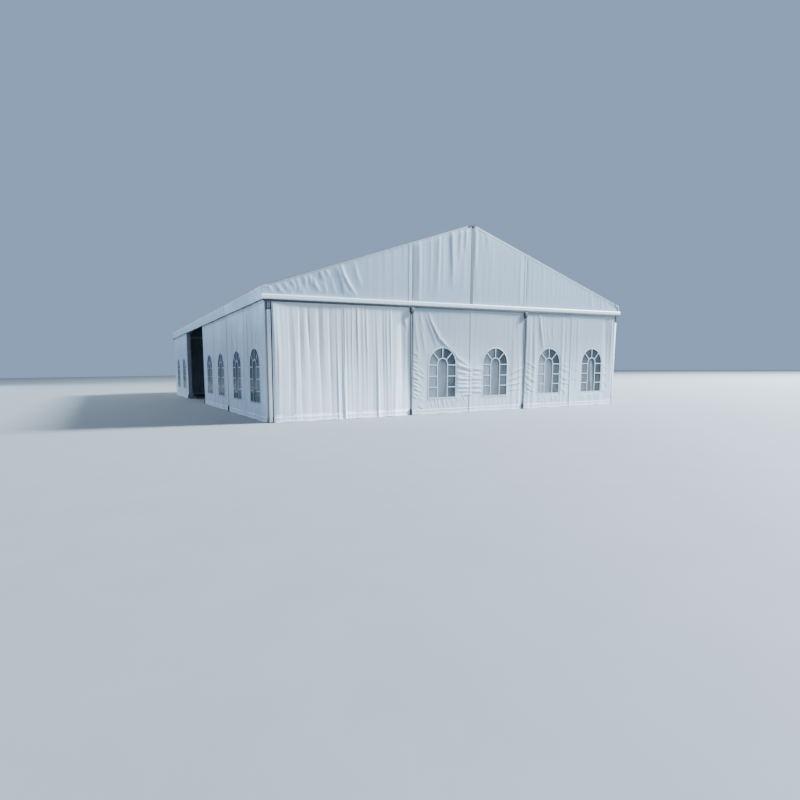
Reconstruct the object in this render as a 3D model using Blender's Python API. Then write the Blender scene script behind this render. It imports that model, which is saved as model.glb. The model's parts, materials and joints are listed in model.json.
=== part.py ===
"""Clear-span marquee tent, 15 m wide and 20 m long, four bays, with curtain walls and arched windows.

Metres, +Z up. X runs along the gables, Y along the ridge, and the origin is the middle of the
footprint at ground level. The front gable faces -Y, and the third bay of the -X side is open.
"""

import math

import bmesh
import bpy
from mathutils import Vector

# Driving sizes of the tent
SPAN = 15.0
GABLE_BAY_COUNT = 3
GABLE_BAY = SPAN / GABLE_BAY_COUNT
BAY = 5.0
BAY_COUNT = 4
LENGTH = BAY * BAY_COUNT
RIDGE_HEIGHT = 6.48
ROOF_PITCH = math.radians(17.9)
BEAM_UNDERSIDE = 3.63
SEAT = 0.0003

# Frame sections
LEG_WIDTH = 0.16
LEG_DEPTH = 0.09
FOOT_LENGTH = 0.40
FOOT_WIDTH = 0.24
FOOT_THICKNESS = 0.015
GUSSET_HEIGHT = 0.16
GUSSET_THICKNESS = 0.012
GUSSET_TOE = 0.03
SLEEVE_HEIGHT = 0.33
SLEEVE_WALL = 0.006
RAFTER_DROP = 0.20
KNEE_REACH = 0.85
RIDGE_KNEE_REACH = 0.60
RIDGE_KNEE_DROP = 0.10
TRACK_WIDTH = 0.03
PURLIN_WIDTH = 0.08
PURLIN_DROP = 0.12
CHEEK_THICKNESS = 0.016
CHEEK_HOLD = 0.06
SHELF_THICKNESS = 0.024
EAVE_BEAM_WIDTH = 0.10
EAVE_BEAM_UNDERSIDE = 3.70
EAVE_BEAM_HEIGHT = 0.20
GABLE_BEAM_HEIGHT = 0.145
GABLE_BEAM_DEPTH = 0.10
GABLE_BEAM_ROUND = 0.035
ROUND_STEPS = 6
UPRIGHT_WIDTH = 0.10
UPRIGHT_DEPTH = 0.09
POST_WIDTH = 0.10
POST_DEPTH = 0.08
EDGE_ROUND = 0.006

# Cloth, made thicker than the real sheet so that its folds lie inside it
COVER_DROP = 0.032
FLAP_BOTTOM = 3.64
WALL_THICKNESS = 0.03
WALL_STANDOFF = 0.03
WALL_BOTTOM = 0.01
WALL_GAP = 0.04
HEM_HEIGHT = 0.09
HEM_PROUD = 0.004
INFILL_THICKNESS = 0.03
INFILL_EDGE_DROP = 0.09
FILM_THICKNESS = 0.004
FILM_BORDER = 0.06

# Arched windows of the curtains
WINDOW_WIDTH = 1.11
WINDOW_SILL = 0.54
WINDOW_SPRING = 1.70
WINDOW_WELT = 0.045
WELT_PROUD = 0.004
ARCH_STEPS = 20
GABLE_WINDOW_PLACES = (0.257, 0.725)
SIDE_WINDOW_PLACES = (0.246, 0.705)

HALF_SPAN = SPAN / 2
HALF_LENGTH = LENGTH / 2
SLOPE = math.tan(ROOF_PITCH)
FLAP_INNER = HALF_SPAN + SEAT + EAVE_BEAM_WIDTH + SEAT
FLAP_OUTER = FLAP_INNER + WALL_THICKNESS
UPRIGHT_X = GABLE_BAY / 2
PURLIN_X = HALF_SPAN / 2
OVERLAP = 0.01
OPEN_BAY = 3


def roof_top(x):
    """Height of the outside of the roof at x."""
    return RIDGE_HEIGHT - SLOPE * abs(x)


def roof_under(x):
    """Height of the top of the rafters, just under the covers, at x."""
    return roof_top(x) - COVER_DROP - SEAT


def rafter_under(x):
    """Height of the underside of the rafters at x, between the eave knees."""
    knee = RIDGE_KNEE_DROP * max(0.0, 1.0 - abs(x) / RIDGE_KNEE_REACH)
    return roof_under(x) - RAFTER_DROP - knee


def frame_span(number):
    """The two Y faces of frame 1 to 5. The end frames stand flush with the gables."""
    middle = -HALF_LENGTH + BAY * (number - 1)
    if number == 1:
        middle += LEG_DEPTH / 2
    if number == BAY_COUNT + 1:
        middle -= LEG_DEPTH / 2
    return middle - LEG_DEPTH / 2, middle + LEG_DEPTH / 2


def clear_scene():
    for item in list(bpy.data.objects):
        bpy.data.objects.remove(item, do_unlink=True)


def make_material(name, colour, roughness, metallic, alpha=1.0):
    material = bpy.data.materials.new(name)
    material.use_nodes = True
    shader = material.node_tree.nodes["Principled BSDF"]
    shader.inputs["Base Color"].default_value = (*colour, 1.0)
    shader.inputs["Roughness"].default_value = roughness
    shader.inputs["Metallic"].default_value = metallic
    shader.inputs["Alpha"].default_value = alpha
    return material


def prism(name, outline, axis, start, end):
    """A closed solid: the outline, in the two other axes in order, carried along axis from start to end."""
    shape = bmesh.new()
    corners = []
    for first, second in outline:
        point = [first, second]
        point.insert("xyz".index(axis), start)
        corners.append(shape.verts.new(point))
    face = shape.faces.new(corners)
    carried = bmesh.ops.extrude_face_region(shape, geom=[face])
    moved = [part for part in carried["geom"] if isinstance(part, bmesh.types.BMVert)]
    travel = Vector((0.0, 0.0, 0.0))
    travel["xyz".index(axis)] = end - start
    bmesh.ops.translate(shape, verts=moved, vec=travel)
    bmesh.ops.recalc_face_normals(shape, faces=shape.faces)
    mesh = bpy.data.meshes.new(name)
    shape.to_mesh(mesh)
    shape.free()
    item = bpy.data.objects.new(name, mesh)
    bpy.context.scene.collection.objects.link(item)
    return item


def box(name, x_span, y_span, z_span):
    low_x, high_x = x_span
    low_y, high_y = y_span
    outline = [(low_x, low_y), (high_x, low_y), (high_x, high_y), (low_x, high_y)]
    return prism(name, outline, "z", *z_span)


def apply_modifiers(item):
    bpy.context.view_layer.update()
    graph = bpy.context.evaluated_depsgraph_get()
    finished = bpy.data.meshes.new_from_object(item.evaluated_get(graph))
    item.modifiers.clear()
    item.data = finished


def combine(item, others, operation):
    for other in others:
        other.hide_render = True
        other.display_type = "WIRE"
        step = item.modifiers.new(operation.title(), "BOOLEAN")
        step.operation = operation
        step.solver = "EXACT"
        step.object = other
    apply_modifiers(item)
    for other in others:
        bpy.data.objects.remove(other, do_unlink=True)


def join(item, others):
    combine(item, others, "UNION")


def cut(item, others):
    combine(item, others, "DIFFERENCE")


def round_edges(item, width=EDGE_ROUND):
    """Rounds the long edges as an extruded metal section has them."""
    bevel = item.modifiers.new("Rounded edges", "BEVEL")
    bevel.width = width
    bevel.segments = 2
    bevel.limit_method = "ANGLE"
    bevel.angle_limit = math.radians(50)
    apply_modifiers(item)


def finish(item, material):
    item.data.materials.clear()
    item.data.materials.append(material)


# Legs, each with a head sleeve, a base plate and gussets
def build_leg(name, side, number, material):
    near, far = frame_span(number)
    outer = side * HALF_SPAN
    inner = side * (HALF_SPAN - LEG_WIDTH)
    low, high = sorted((outer, inner))
    top = BEAM_UNDERSIDE - SEAT
    leg = box(name, (low, high), (near, far), (FOOT_THICKNESS / 2, top))
    round_edges(leg)
    sleeve_bottom = top - SLEEVE_HEIGHT
    inner_face = sorted((outer, inner - side * SLEEVE_WALL))
    sleeve_y = (near, far + SLEEVE_WALL) if number == 1 else (near - SLEEVE_WALL, far)
    if 1 < number <= BAY_COUNT:
        sleeve_y = (near - SLEEVE_WALL, far + SLEEVE_WALL)
    sleeve = box("sleeve", inner_face, sleeve_y, (sleeve_bottom, top - OVERLAP))
    middle_x = (low + high) / 2
    middle_y = (near + far) / 2
    plate_y = (middle_y - FOOT_WIDTH / 2, middle_y + FOOT_WIDTH / 2)
    if number == 1:
        plate_y = (near, near + FOOT_WIDTH)
    if number == BAY_COUNT + 1:
        plate_y = (far - FOOT_WIDTH, far)
    plate_x = sorted((outer, outer - side * FOOT_LENGTH))
    plate = box("plate", plate_x, plate_y, (0.0, FOOT_THICKNESS))
    reach = inner - side * (FOOT_LENGTH - LEG_WIDTH - OVERLAP)
    gusset_outline = [
        (middle_x, FOOT_THICKNESS / 2),
        (reach, FOOT_THICKNESS / 2),
        (reach, GUSSET_TOE),
        (inner, GUSSET_HEIGHT),
        (middle_x, GUSSET_HEIGHT),
    ]
    gusset_y = (middle_y - GUSSET_THICKNESS / 2, middle_y + GUSSET_THICKNESS / 2)
    gusset = prism("gusset", gusset_outline, "y", *gusset_y)
    join(leg, [sleeve, plate, gusset])
    finish(leg, material)


# Rafter pairs with eave knees, a ridge knee and the keder track on top
def build_rafters(name, number, material):
    near, far = frame_span(number)
    inner = HALF_SPAN - LEG_WIDTH
    knee = HALF_SPAN - KNEE_REACH
    right_side = [
        (HALF_SPAN, roof_under(HALF_SPAN)),
        (HALF_SPAN, BEAM_UNDERSIDE),
        (inner, BEAM_UNDERSIDE),
        (knee, rafter_under(knee)),
        (RIDGE_KNEE_REACH, rafter_under(RIDGE_KNEE_REACH)),
        (0.0, rafter_under(0.0)),
    ]
    left_side = [(-x, z) for x, z in reversed(right_side[:-1])]
    outline = [(0.0, roof_under(0.0))] + right_side + left_side
    rafters = prism(name, outline, "y", near, far)
    track_near = (near + far - TRACK_WIDTH) / 2
    if number == 1:
        track_near = near
    if number == BAY_COUNT + 1:
        track_near = far - TRACK_WIDTH
    edge = HALF_SPAN
    track_outline = [
        (-edge, roof_top(edge)),
        (0.0, roof_top(0.0)),
        (edge, roof_top(edge)),
        (edge, roof_under(edge) - OVERLAP),
        (0.0, roof_under(0.0) - OVERLAP),
        (-edge, roof_under(edge) - OVERLAP),
    ]
    track = prism("track", track_outline, "y", track_near, track_near + TRACK_WIDTH)
    join(rafters, [track])
    finish(rafters, material)
    return track_near, track_near + TRACK_WIDTH


# Purlin lines: one length a bay, carried past each rafter pair by a bracket under it
def purlin_section(middle, drop):
    half = PURLIN_WIDTH / 2
    points = [(middle - half, roof_under(middle - half))]
    if abs(middle) < half:
        points.append((0.0, roof_under(0.0)))
    points.append((middle + half, roof_under(middle + half)))
    low = min(z for _, z in points) - drop
    points += [(middle + half, low), (middle - half, low)]
    return points


def build_purlin_line(name, middle, material):
    half = PURLIN_WIDTH / 2
    across = (middle - half, middle + half)
    section = purlin_section(middle, PURLIN_DROP)
    lengths = []
    for bay in range(1, BAY_COUNT + 1):
        near = frame_span(bay)[1] + SEAT
        far = frame_span(bay + 1)[0] - SEAT
        lengths.append(prism(name if bay == 1 else "length", section, "y", near, far))
    shelf_top = rafter_under(abs(middle) + half) - SEAT
    shelf_z = (shelf_top - SHELF_THICKNESS, shelf_top)
    cheek_z = (shelf_top - SHELF_THICKNESS / 2, roof_under(abs(middle) + half) - CHEEK_HOLD)
    brackets = []
    for number in range(2, BAY_COUNT + 1):
        near, far = frame_span(number)
        first_y = near - SEAT - CHEEK_THICKNESS
        second_y = far + SEAT
        brackets.append(box("shelf", across, (first_y, second_y + CHEEK_THICKNESS), shelf_z))
        for low_y in (first_y, second_y):
            brackets.append(box("cheek", across, (low_y, low_y + CHEEK_THICKNESS), cheek_z))
    join(lengths[0], lengths[1:] + brackets)
    finish(lengths[0], material)


def build_eave_beam(name, side, material):
    inner = side * (HALF_SPAN + SEAT)
    outer = side * (HALF_SPAN + SEAT + EAVE_BEAM_WIDTH)
    x_span = sorted((inner, outer))
    z_span = (EAVE_BEAM_UNDERSIDE, EAVE_BEAM_UNDERSIDE + EAVE_BEAM_HEIGHT)
    beam = box(name, x_span, (-HALF_LENGTH, HALF_LENGTH), z_span)
    round_edges(beam)
    finish(beam, material)


# Gable beam with its outer edges rounded, and the king post that stands behind it up to the ridge
def build_gable_beam(name, end, material):
    back = end * (HALF_LENGTH + SEAT)
    front = back + end * GABLE_BEAM_DEPTH
    beam_top = BEAM_UNDERSIDE + GABLE_BEAM_HEIGHT
    section = [(back, BEAM_UNDERSIDE)]
    for middle_z, first in ((BEAM_UNDERSIDE + GABLE_BEAM_ROUND, 0.0), (beam_top - GABLE_BEAM_ROUND, 0.5)):
        for step in range(ROUND_STEPS + 1):
            turn = math.pi * (first + step / ROUND_STEPS / 2)
            y = front + end * GABLE_BEAM_ROUND * (math.sin(turn) - 1.0)
            section.append((y, middle_z - GABLE_BEAM_ROUND * math.cos(turn)))
    section.append((back, beam_top))
    beam = prism(name, section, "x", -FLAP_OUTER, FLAP_OUTER)
    half = POST_WIDTH / 2
    post_back = end * (HALF_LENGTH - POST_DEPTH)
    post_outline = [
        (-half, BEAM_UNDERSIDE + OVERLAP),
        (half, BEAM_UNDERSIDE + OVERLAP),
        (half, rafter_under(half) - SEAT),
        (0.0, rafter_under(0.0) - SEAT),
        (-half, rafter_under(half) - SEAT),
    ]
    post = prism("post", post_outline, "y", *sorted((post_back, end * HALF_LENGTH)))
    tie_y = sorted((post_back + end * OVERLAP, front - end * GABLE_BEAM_ROUND))
    tie_z = (BEAM_UNDERSIDE + OVERLAP, beam_top - OVERLAP)
    tie = box("tie", (-half + OVERLAP, half - OVERLAP), tie_y, tie_z)
    join(beam, [post, tie])
    finish(beam, material)


def build_upright(name, side, end, material):
    middle = side * UPRIGHT_X
    half = UPRIGHT_WIDTH / 2
    front = end * HALF_LENGTH
    back = end * (HALF_LENGTH - UPRIGHT_DEPTH)
    low_x, high_x = middle - half, middle + half
    outline = [
        (low_x, FOOT_THICKNESS / 2),
        (high_x, FOOT_THICKNESS / 2),
        (high_x, rafter_under(high_x) - SEAT),
        (low_x, rafter_under(low_x) - SEAT),
    ]
    upright = prism(name, outline, "y", *sorted((front, back)))
    round_edges(upright)
    plate_y = sorted((front, front - end * FOOT_WIDTH))
    plate_x = (middle - FOOT_LENGTH / 2, middle + FOOT_LENGTH / 2)
    plate = box("plate", plate_x, plate_y, (0.0, FOOT_THICKNESS))
    join(upright, [plate])
    finish(upright, material)


# Roof covers, one a bay, with a flap down over each eave beam
def build_cover(name, near, far, material):
    outer_top = roof_top(FLAP_OUTER)
    inner_z = roof_top(FLAP_INNER) - COVER_DROP
    right_side = [
        (FLAP_OUTER, outer_top),
        (FLAP_OUTER, FLAP_BOTTOM),
        (FLAP_INNER, FLAP_BOTTOM),
        (FLAP_INNER, inner_z),
        (0.0, roof_top(0.0) - COVER_DROP),
    ]
    left_side = [(-x, z) for x, z in reversed(right_side[:-1])]
    outline = [(0.0, roof_top(0.0))] + right_side + left_side
    cover = prism(name, outline, "y", near, far)
    finish(cover, material)


def arch_outline(middle, grow):
    """The window outline, wider all round by grow."""
    radius = WINDOW_WIDTH / 2 + grow
    points = [(middle - radius, WINDOW_SILL - grow), (middle + radius, WINDOW_SILL - grow)]
    for step in range(ARCH_STEPS + 1):
        turn = math.pi * step / ARCH_STEPS
        points.append((middle + radius * math.cos(turn), WINDOW_SPRING + radius * math.sin(turn)))
    return points


# Curtain walls, one a bay, with hem bands and welted window openings
def build_wall(name, axis, outward, plane, low, high, top, windows, material):
    """A curtain whose inner face lies WALL_STANDOFF outside the plane. axis is the one it faces along."""
    inner = plane + outward * WALL_STANDOFF
    outer = inner + outward * WALL_THICKNESS
    outline = [(low, WALL_BOTTOM), (high, WALL_BOTTOM), (high, top), (low, top)]
    wall = prism(name, outline, axis, *sorted((inner, outer)))
    extras = []
    hem_outline = [
        (low, WALL_BOTTOM),
        (high, WALL_BOTTOM),
        (high, WALL_BOTTOM + HEM_HEIGHT),
        (low, WALL_BOTTOM + HEM_HEIGHT),
    ]
    hem_faces = sorted((inner + outward * OVERLAP, outer + outward * HEM_PROUD))
    extras.append(prism("hem", hem_outline, axis, *hem_faces))
    welt_faces = sorted((inner + outward * OVERLAP, outer + outward * WELT_PROUD))
    cutters = []
    for middle in windows:
        extras.append(prism("welt", arch_outline(middle, WINDOW_WELT), axis, *welt_faces))
        through = sorted((inner - outward * WALL_STANDOFF, outer + outward * WALL_STANDOFF))
        cutters.append(prism("window", arch_outline(middle, 0.0), axis, *through))
    join(wall, extras)
    if cutters:
        cut(wall, cutters)
    finish(wall, material)


def build_film(name, axis, outward, plane, low, high, material):
    """The clear film closing a run of windows, seated on the inner face of the curtains."""
    outer = plane + outward * (WALL_STANDOFF - SEAT)
    inner = outer - outward * FILM_THICKNESS
    bottom = WINDOW_SILL - FILM_BORDER
    top = WINDOW_SPRING + WINDOW_WIDTH / 2 + FILM_BORDER
    outline = [(low, bottom), (high, bottom), (high, top), (low, top)]
    film = prism(name, outline, axis, *sorted((inner, outer)))
    finish(film, material)


def build_infill(name, end, material):
    """The cloth of a gable, over the rafter face and down to the gable beam."""
    bottom = BEAM_UNDERSIDE + GABLE_BEAM_HEIGHT + SEAT
    reach = (RIDGE_HEIGHT - INFILL_EDGE_DROP - bottom) / SLOPE
    edge = min(reach, FLAP_OUTER)
    edge_top = roof_top(edge) - INFILL_EDGE_DROP
    outline = [(-edge, bottom), (edge, bottom)]
    if edge_top > bottom + SEAT:
        outline += [(edge, edge_top), (0.0, RIDGE_HEIGHT - INFILL_EDGE_DROP), (-edge, edge_top)]
    else:
        outline.append((0.0, RIDGE_HEIGHT - INFILL_EDGE_DROP))
    back = end * (HALF_LENGTH + SEAT)
    front = back + end * INFILL_THICKNESS
    infill = prism(name, outline, "y", *sorted((back, front)))
    finish(infill, material)


def window_middles(low, bay, places):
    return [low + bay * place for place in places]


def main():
    clear_scene()
    frame_metal = make_material("frame_aluminium", (0.62, 0.64, 0.66), 0.42, 0.85)
    beam_metal = make_material("white_beam", (0.82, 0.84, 0.86), 0.40, 0.0)
    cover_cloth = make_material("roof_cloth", (0.78, 0.81, 0.85), 0.48, 0.0)
    wall_cloth = make_material("wall_cloth", (0.76, 0.79, 0.82), 0.52, 0.0)
    film = make_material("window_film", (0.30, 0.36, 0.40), 0.18, 0.0, 0.55)

    tracks = []
    for number in range(1, BAY_COUNT + 2):
        build_leg(f"leg_left_{number}", -1, number, frame_metal)
        build_leg(f"leg_right_{number}", 1, number, frame_metal)
        tracks.append(build_rafters(f"rafters_{number}", number, frame_metal))
    for bay in range(1, BAY_COUNT + 1):
        near = tracks[bay - 1][1] + SEAT
        far = tracks[bay][0] - SEAT
        build_cover(f"roof_cover_{bay}", near, far, cover_cloth)

    build_purlin_line("ridge_purlin", 0.0, frame_metal)
    build_purlin_line("purlin_left", -PURLIN_X, frame_metal)
    build_purlin_line("purlin_right", PURLIN_X, frame_metal)
    build_eave_beam("eave_beam_left", -1, frame_metal)
    build_eave_beam("eave_beam_right", 1, frame_metal)

    film_reach = WINDOW_WIDTH / 2 + FILM_BORDER
    for end_name, end in (("front", -1), ("back", 1)):
        build_gable_beam(f"gable_beam_{end_name}", end, beam_metal)
        build_upright(f"upright_{end_name}_left", -1, end, frame_metal)
        build_upright(f"upright_{end_name}_right", 1, end, frame_metal)
        build_infill(f"gable_infill_{end_name}", end, cover_cloth)
        plane = end * HALF_LENGTH
        leg_gap = LEG_WIDTH + SLEEVE_WALL + SEAT
        for bay in range(1, GABLE_BAY_COUNT + 1):
            low = -HALF_SPAN + GABLE_BAY * (bay - 1)
            windows = [] if bay == 1 else window_middles(low, GABLE_BAY, GABLE_WINDOW_PLACES)
            start = low + (leg_gap if bay == 1 else WALL_GAP / 2)
            stop = low + GABLE_BAY - (leg_gap if bay == GABLE_BAY_COUNT else WALL_GAP / 2)
            top = BEAM_UNDERSIDE - SEAT
            build_wall(f"wall_{end_name}_{bay}", "y", end, plane, start, stop, top, windows, wall_cloth)
        film_low = -UPRIGHT_X + GABLE_BAY * GABLE_WINDOW_PLACES[0] - film_reach
        film_high = UPRIGHT_X + GABLE_BAY * GABLE_WINDOW_PLACES[1] + film_reach
        build_film(f"window_film_{end_name}", "y", end, plane, film_low, film_high, film)

    for side_name, side in (("left", -1), ("right", 1)):
        plane = side * HALF_SPAN
        runs = [(1, 2), (4, 4)] if side < 0 else [(1, 4)]
        for bay in range(1, BAY_COUNT + 1):
            if side < 0 and bay == OPEN_BAY:
                continue
            low = -HALF_LENGTH + BAY * (bay - 1)
            windows = window_middles(low, BAY, SIDE_WINDOW_PLACES)
            start, stop = low + WALL_GAP / 2, low + BAY - WALL_GAP / 2
            top = EAVE_BEAM_UNDERSIDE - SEAT
            build_wall(f"wall_{side_name}_{bay}", "x", side, plane, start, stop, top, windows, wall_cloth)
        for first, last in runs:
            film_low = -HALF_LENGTH + BAY * (first - 1 + SIDE_WINDOW_PLACES[0])
            film_high = -HALF_LENGTH + BAY * (last - 1 + SIDE_WINDOW_PLACES[1])
            suffix = "" if side > 0 else f"_{first}"
            name = f"window_film_{side_name}{suffix}"
            build_film(name, "x", side, plane, film_low - film_reach, film_high + film_reach, film)


main()
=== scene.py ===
"""Clear-span marquee tent: its cloth, windows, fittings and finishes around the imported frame."""

from __future__ import annotations

import json
import logging
import math
from abc import ABC, abstractmethod
from dataclasses import dataclass
from enum import Enum
from functools import cached_property

import bpy
import numpy as np
from mathutils import Matrix, Vector

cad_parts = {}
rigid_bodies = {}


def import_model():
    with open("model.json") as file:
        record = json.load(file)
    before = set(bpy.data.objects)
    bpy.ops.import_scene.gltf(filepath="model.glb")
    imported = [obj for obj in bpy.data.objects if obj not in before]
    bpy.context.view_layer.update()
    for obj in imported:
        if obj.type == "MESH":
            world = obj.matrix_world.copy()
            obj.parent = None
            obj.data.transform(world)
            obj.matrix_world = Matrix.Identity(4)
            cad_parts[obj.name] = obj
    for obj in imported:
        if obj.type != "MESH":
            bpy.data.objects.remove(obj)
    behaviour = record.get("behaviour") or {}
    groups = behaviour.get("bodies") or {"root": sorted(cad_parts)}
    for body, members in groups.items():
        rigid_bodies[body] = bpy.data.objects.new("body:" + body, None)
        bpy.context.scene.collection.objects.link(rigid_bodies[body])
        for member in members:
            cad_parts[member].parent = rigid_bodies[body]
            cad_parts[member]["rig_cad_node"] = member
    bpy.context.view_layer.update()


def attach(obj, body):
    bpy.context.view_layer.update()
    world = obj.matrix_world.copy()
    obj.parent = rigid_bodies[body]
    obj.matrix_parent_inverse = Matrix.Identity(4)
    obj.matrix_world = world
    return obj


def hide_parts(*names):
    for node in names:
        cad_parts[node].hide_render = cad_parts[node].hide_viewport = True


LOG = logging.getLogger("marquee")

Array = np.ndarray
Piece = bpy.types.Object
Colour = tuple[float, float, float]
Place = tuple[float, float]
Point = tuple[float, float, float]
Box = tuple[Point, Point]

# Sizes shared with the frame, in metres
HALF_SPAN = 7.5
HALF_LENGTH = 10.0
BAY = 5.0
RIDGE_HEIGHT = 6.48
SLOPE = math.tan(math.radians(17.9))
BEAM_UNDERSIDE = 3.63
BEAM_TOP = 3.775
EAVE_UNDERSIDE = 3.70
FLAP_BOTTOM = 3.64
FLAP_FACE = 7.626
FRAME_LINES = (-9.955, -5.0, 0.0, 5.0, 9.955)
TRACK_HALF = 0.015
PURLIN_X = 3.75
LEG_INNER = 7.34
UPRIGHT_X = 2.5
POST_GAP = 0.049
CORNER_GAP = 0.006

# Windows, in metres
WINDOW_HALF = 0.555
WINDOW_SILL = 0.54
WINDOW_SPRING = 1.70
GABLE_PLACES = (0.257, 0.725)
SIDE_PLACES = (0.246, 0.705)

# Cloth, in metres
CLOTH_THICKNESS = 0.0025
FILM_THICKNESS = 0.0012
BARS_THICKNESS = 0.0030
COVER_DROP = 0.004
COVER_EDGE = 9.969
SHARP_ANGLE = 38.0


def roof_top(across: Array | float) -> Array | float:
    """Returns the height of the outside of the roof at a distance across the tent."""
    return RIDGE_HEIGHT - SLOPE * np.abs(across)


def share(distance: Array, reach: float) -> Array:
    """Returns a distance as a share of a reach, kept from 0 to 1."""
    return np.clip(distance / reach, 0.0, 1.0)


def eased(part: Array) -> Array:
    """Returns a share from 0 to 1 with a soft start and end."""
    return part * part * (3 - 2 * part)


def bell(value: Array, middle: float, width: float) -> Array:
    """Returns a bump of height 1 about a middle."""
    return np.exp(-(((value - middle) / width) ** 2))


class Facing(Enum):
    """The way a wall looks."""

    FRONT = "front"
    BACK = "back"
    LEFT = "left"
    RIGHT = "right"

    def place(self, along: Array, out: Array, up: Array) -> Array:
        """Turns places on a wall into places in the tent.

        Args:
            along: distance along the wall, as the tent's X on a gable and Y on a side.
            out: distance outward from the outer face of the legs.
            up: height above the ground.

        Returns:
            The points, one row each.
        """
        return np.stack(self.at(along, out, up), axis=1)

    def at(self, along: float, out: float, up: float) -> tuple:
        """Returns X, Y and Z of a place on the wall, which may be numbers or arrays of them."""
        if self.gable:
            return along, self.outward * (HALF_LENGTH + out), up
        return self.outward * (HALF_SPAN + out), along, up

    @property
    def outward(self) -> int:
        """The sign of the outward way on the tent's own axis."""
        return 1 if self in (Facing.BACK, Facing.RIGHT) else -1

    @property
    def mirrored(self) -> bool:
        """Whether a grid laid on this wall comes out with its face inward."""
        return self in (Facing.BACK, Facing.LEFT)

    @property
    def gable(self) -> bool:
        """Whether this wall closes a gable."""
        return self in (Facing.FRONT, Facing.BACK)

    @property
    def rafters(self) -> str:
        """The rafter pair that stands over this gable."""
        return "rafters_1" if self is Facing.FRONT else "rafters_5"


# Mesh helpers


def deselect() -> None:
    """Deselects every object."""
    bpy.ops.object.select_all(action="DESELECT")


def activate(piece: Piece) -> None:
    """Selects one piece alone and makes it the active one."""
    deselect()
    piece.select_set(True)
    bpy.context.view_layer.objects.active = piece


def named(piece: Piece, name: str) -> Piece:
    """Names a piece and its mesh and returns it."""
    piece.name = name
    piece.data.name = name
    return piece


def settle() -> None:
    """Puts the active piece's place into its mesh."""
    bpy.ops.object.transform_apply(location=True, rotation=True, scale=True)


def smooth(piece: Piece, angle: float = SHARP_ANGLE) -> None:
    """Shades a piece smooth up to an angle in degrees."""
    activate(piece)
    bpy.ops.object.shade_smooth_by_angle(angle=math.radians(angle))


def dress(piece: Piece, material: bpy.types.Material) -> None:
    """Gives a piece one material alone."""
    piece.data.materials.clear()
    piece.data.materials.append(material)


def points_of(piece: Piece) -> Array:
    """Returns the piece's points, one row each."""
    found = np.empty(len(piece.data.vertices) * 3)
    piece.data.vertices.foreach_get("co", found)
    return found.reshape(-1, 3)


def set_points(piece: Piece, points: Array) -> None:
    """Moves the piece's points to new places."""
    piece.data.vertices.foreach_set("co", np.ascontiguousarray(points, dtype=np.float64).ravel())
    piece.data.update()


def set_uv(piece: Piece, across: Array, along: Array) -> None:
    """Writes the flat cut of the cloth as the piece's UV map.

    Args:
        piece: the cloth.
        across: each point's U, in metres.
        along: its V, in metres.
    """
    mesh = piece.data
    layer = mesh.uv_layers[0] if mesh.uv_layers else mesh.uv_layers.new(name="Cut")
    corner = np.empty(len(mesh.loops), dtype=np.int32)
    mesh.loops.foreach_get("vertex_index", corner)
    flat = np.stack([across, along], axis=1)
    layer.data.foreach_set("uv", flat[corner].astype(np.float32).ravel())


def grid(name: str, across: Array, along: Array) -> Piece:
    """Adds a flat grid of cloth.

    Args:
        name: the piece's name.
        across: the place of each column.
        along: the place of each row.

    Returns:
        The piece, with X at the columns, Y at the rows and its face towards +Z.
    """
    deselect()
    cells = (len(across) - 1, len(along) - 1)
    bpy.ops.mesh.primitive_grid_add(x_subdivisions=cells[0], y_subdivisions=cells[1], size=2.0)
    piece = named(bpy.context.object, name)
    points = points_of(piece)
    for axis, places in enumerate((across, along)):
        index = np.rint((points[:, axis] + 1) / 2 * cells[axis]).astype(int)
        points[:, axis] = places[index]
    set_points(piece, points)
    return piece


def thicken(piece: Piece, thickness: float) -> None:
    """Gives a sheet its thickness, inward from its face."""
    activate(piece)
    solidify = piece.modifiers.new("Thickness", "SOLIDIFY")
    solidify.thickness = thickness
    solidify.offset = -1.0
    bpy.ops.object.modifier_apply(modifier=solidify.name)


def sew(
    piece: Piece,
    finish: Finish,
    inward: bool,
    thickness: float = CLOTH_THICKNESS,
    angle: float = SHARP_ANGLE,
) -> None:
    """Finishes a laid sheet that rides on the frame.

    Args:
        piece: the sheet, one layer thick.
        finish: how it looks.
        inward: whether its face looks inward and has to be turned.
        thickness: its thickness.
        angle: the angle up to which it is shaded smooth.
    """
    if inward:
        piece.data.flip_normals()
    thicken(piece, thickness)
    smooth(piece, angle)
    fit(piece, finish)


def fit(piece: Piece, finish: Finish) -> None:
    """Dresses a piece and lets it ride on the frame."""
    dress(piece, finish.material)
    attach(piece, "root")


def join(name: str, pieces: list[Piece]) -> Piece:
    """Joins pieces.

    Args:
        name: the whole's name.
        pieces: what is joined, the first of which takes up the rest.

    Returns:
        The whole.
    """
    deselect()
    for piece in pieces:
        piece.select_set(True)
    bpy.context.view_layer.objects.active = pieces[0]
    bpy.ops.object.join()
    return named(pieces[0], name)


def copied(piece: Piece, name: str, move: Matrix) -> Piece:
    """Copies a piece with a mesh of its own, moved in its mesh.

    Args:
        piece: what is copied.
        name: the copy's name.
        move: where the copy goes.

    Returns:
        The copy.
    """
    mesh = piece.data.copy()
    mesh.name = name
    mesh.transform(move)
    twin = bpy.data.objects.new(name, mesh)
    bpy.context.scene.collection.objects.link(twin)
    return twin


def discard(*pieces: Piece) -> None:
    """Removes models once all their copies are made."""
    for piece in pieces:
        bpy.data.objects.remove(piece, do_unlink=True)


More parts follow.
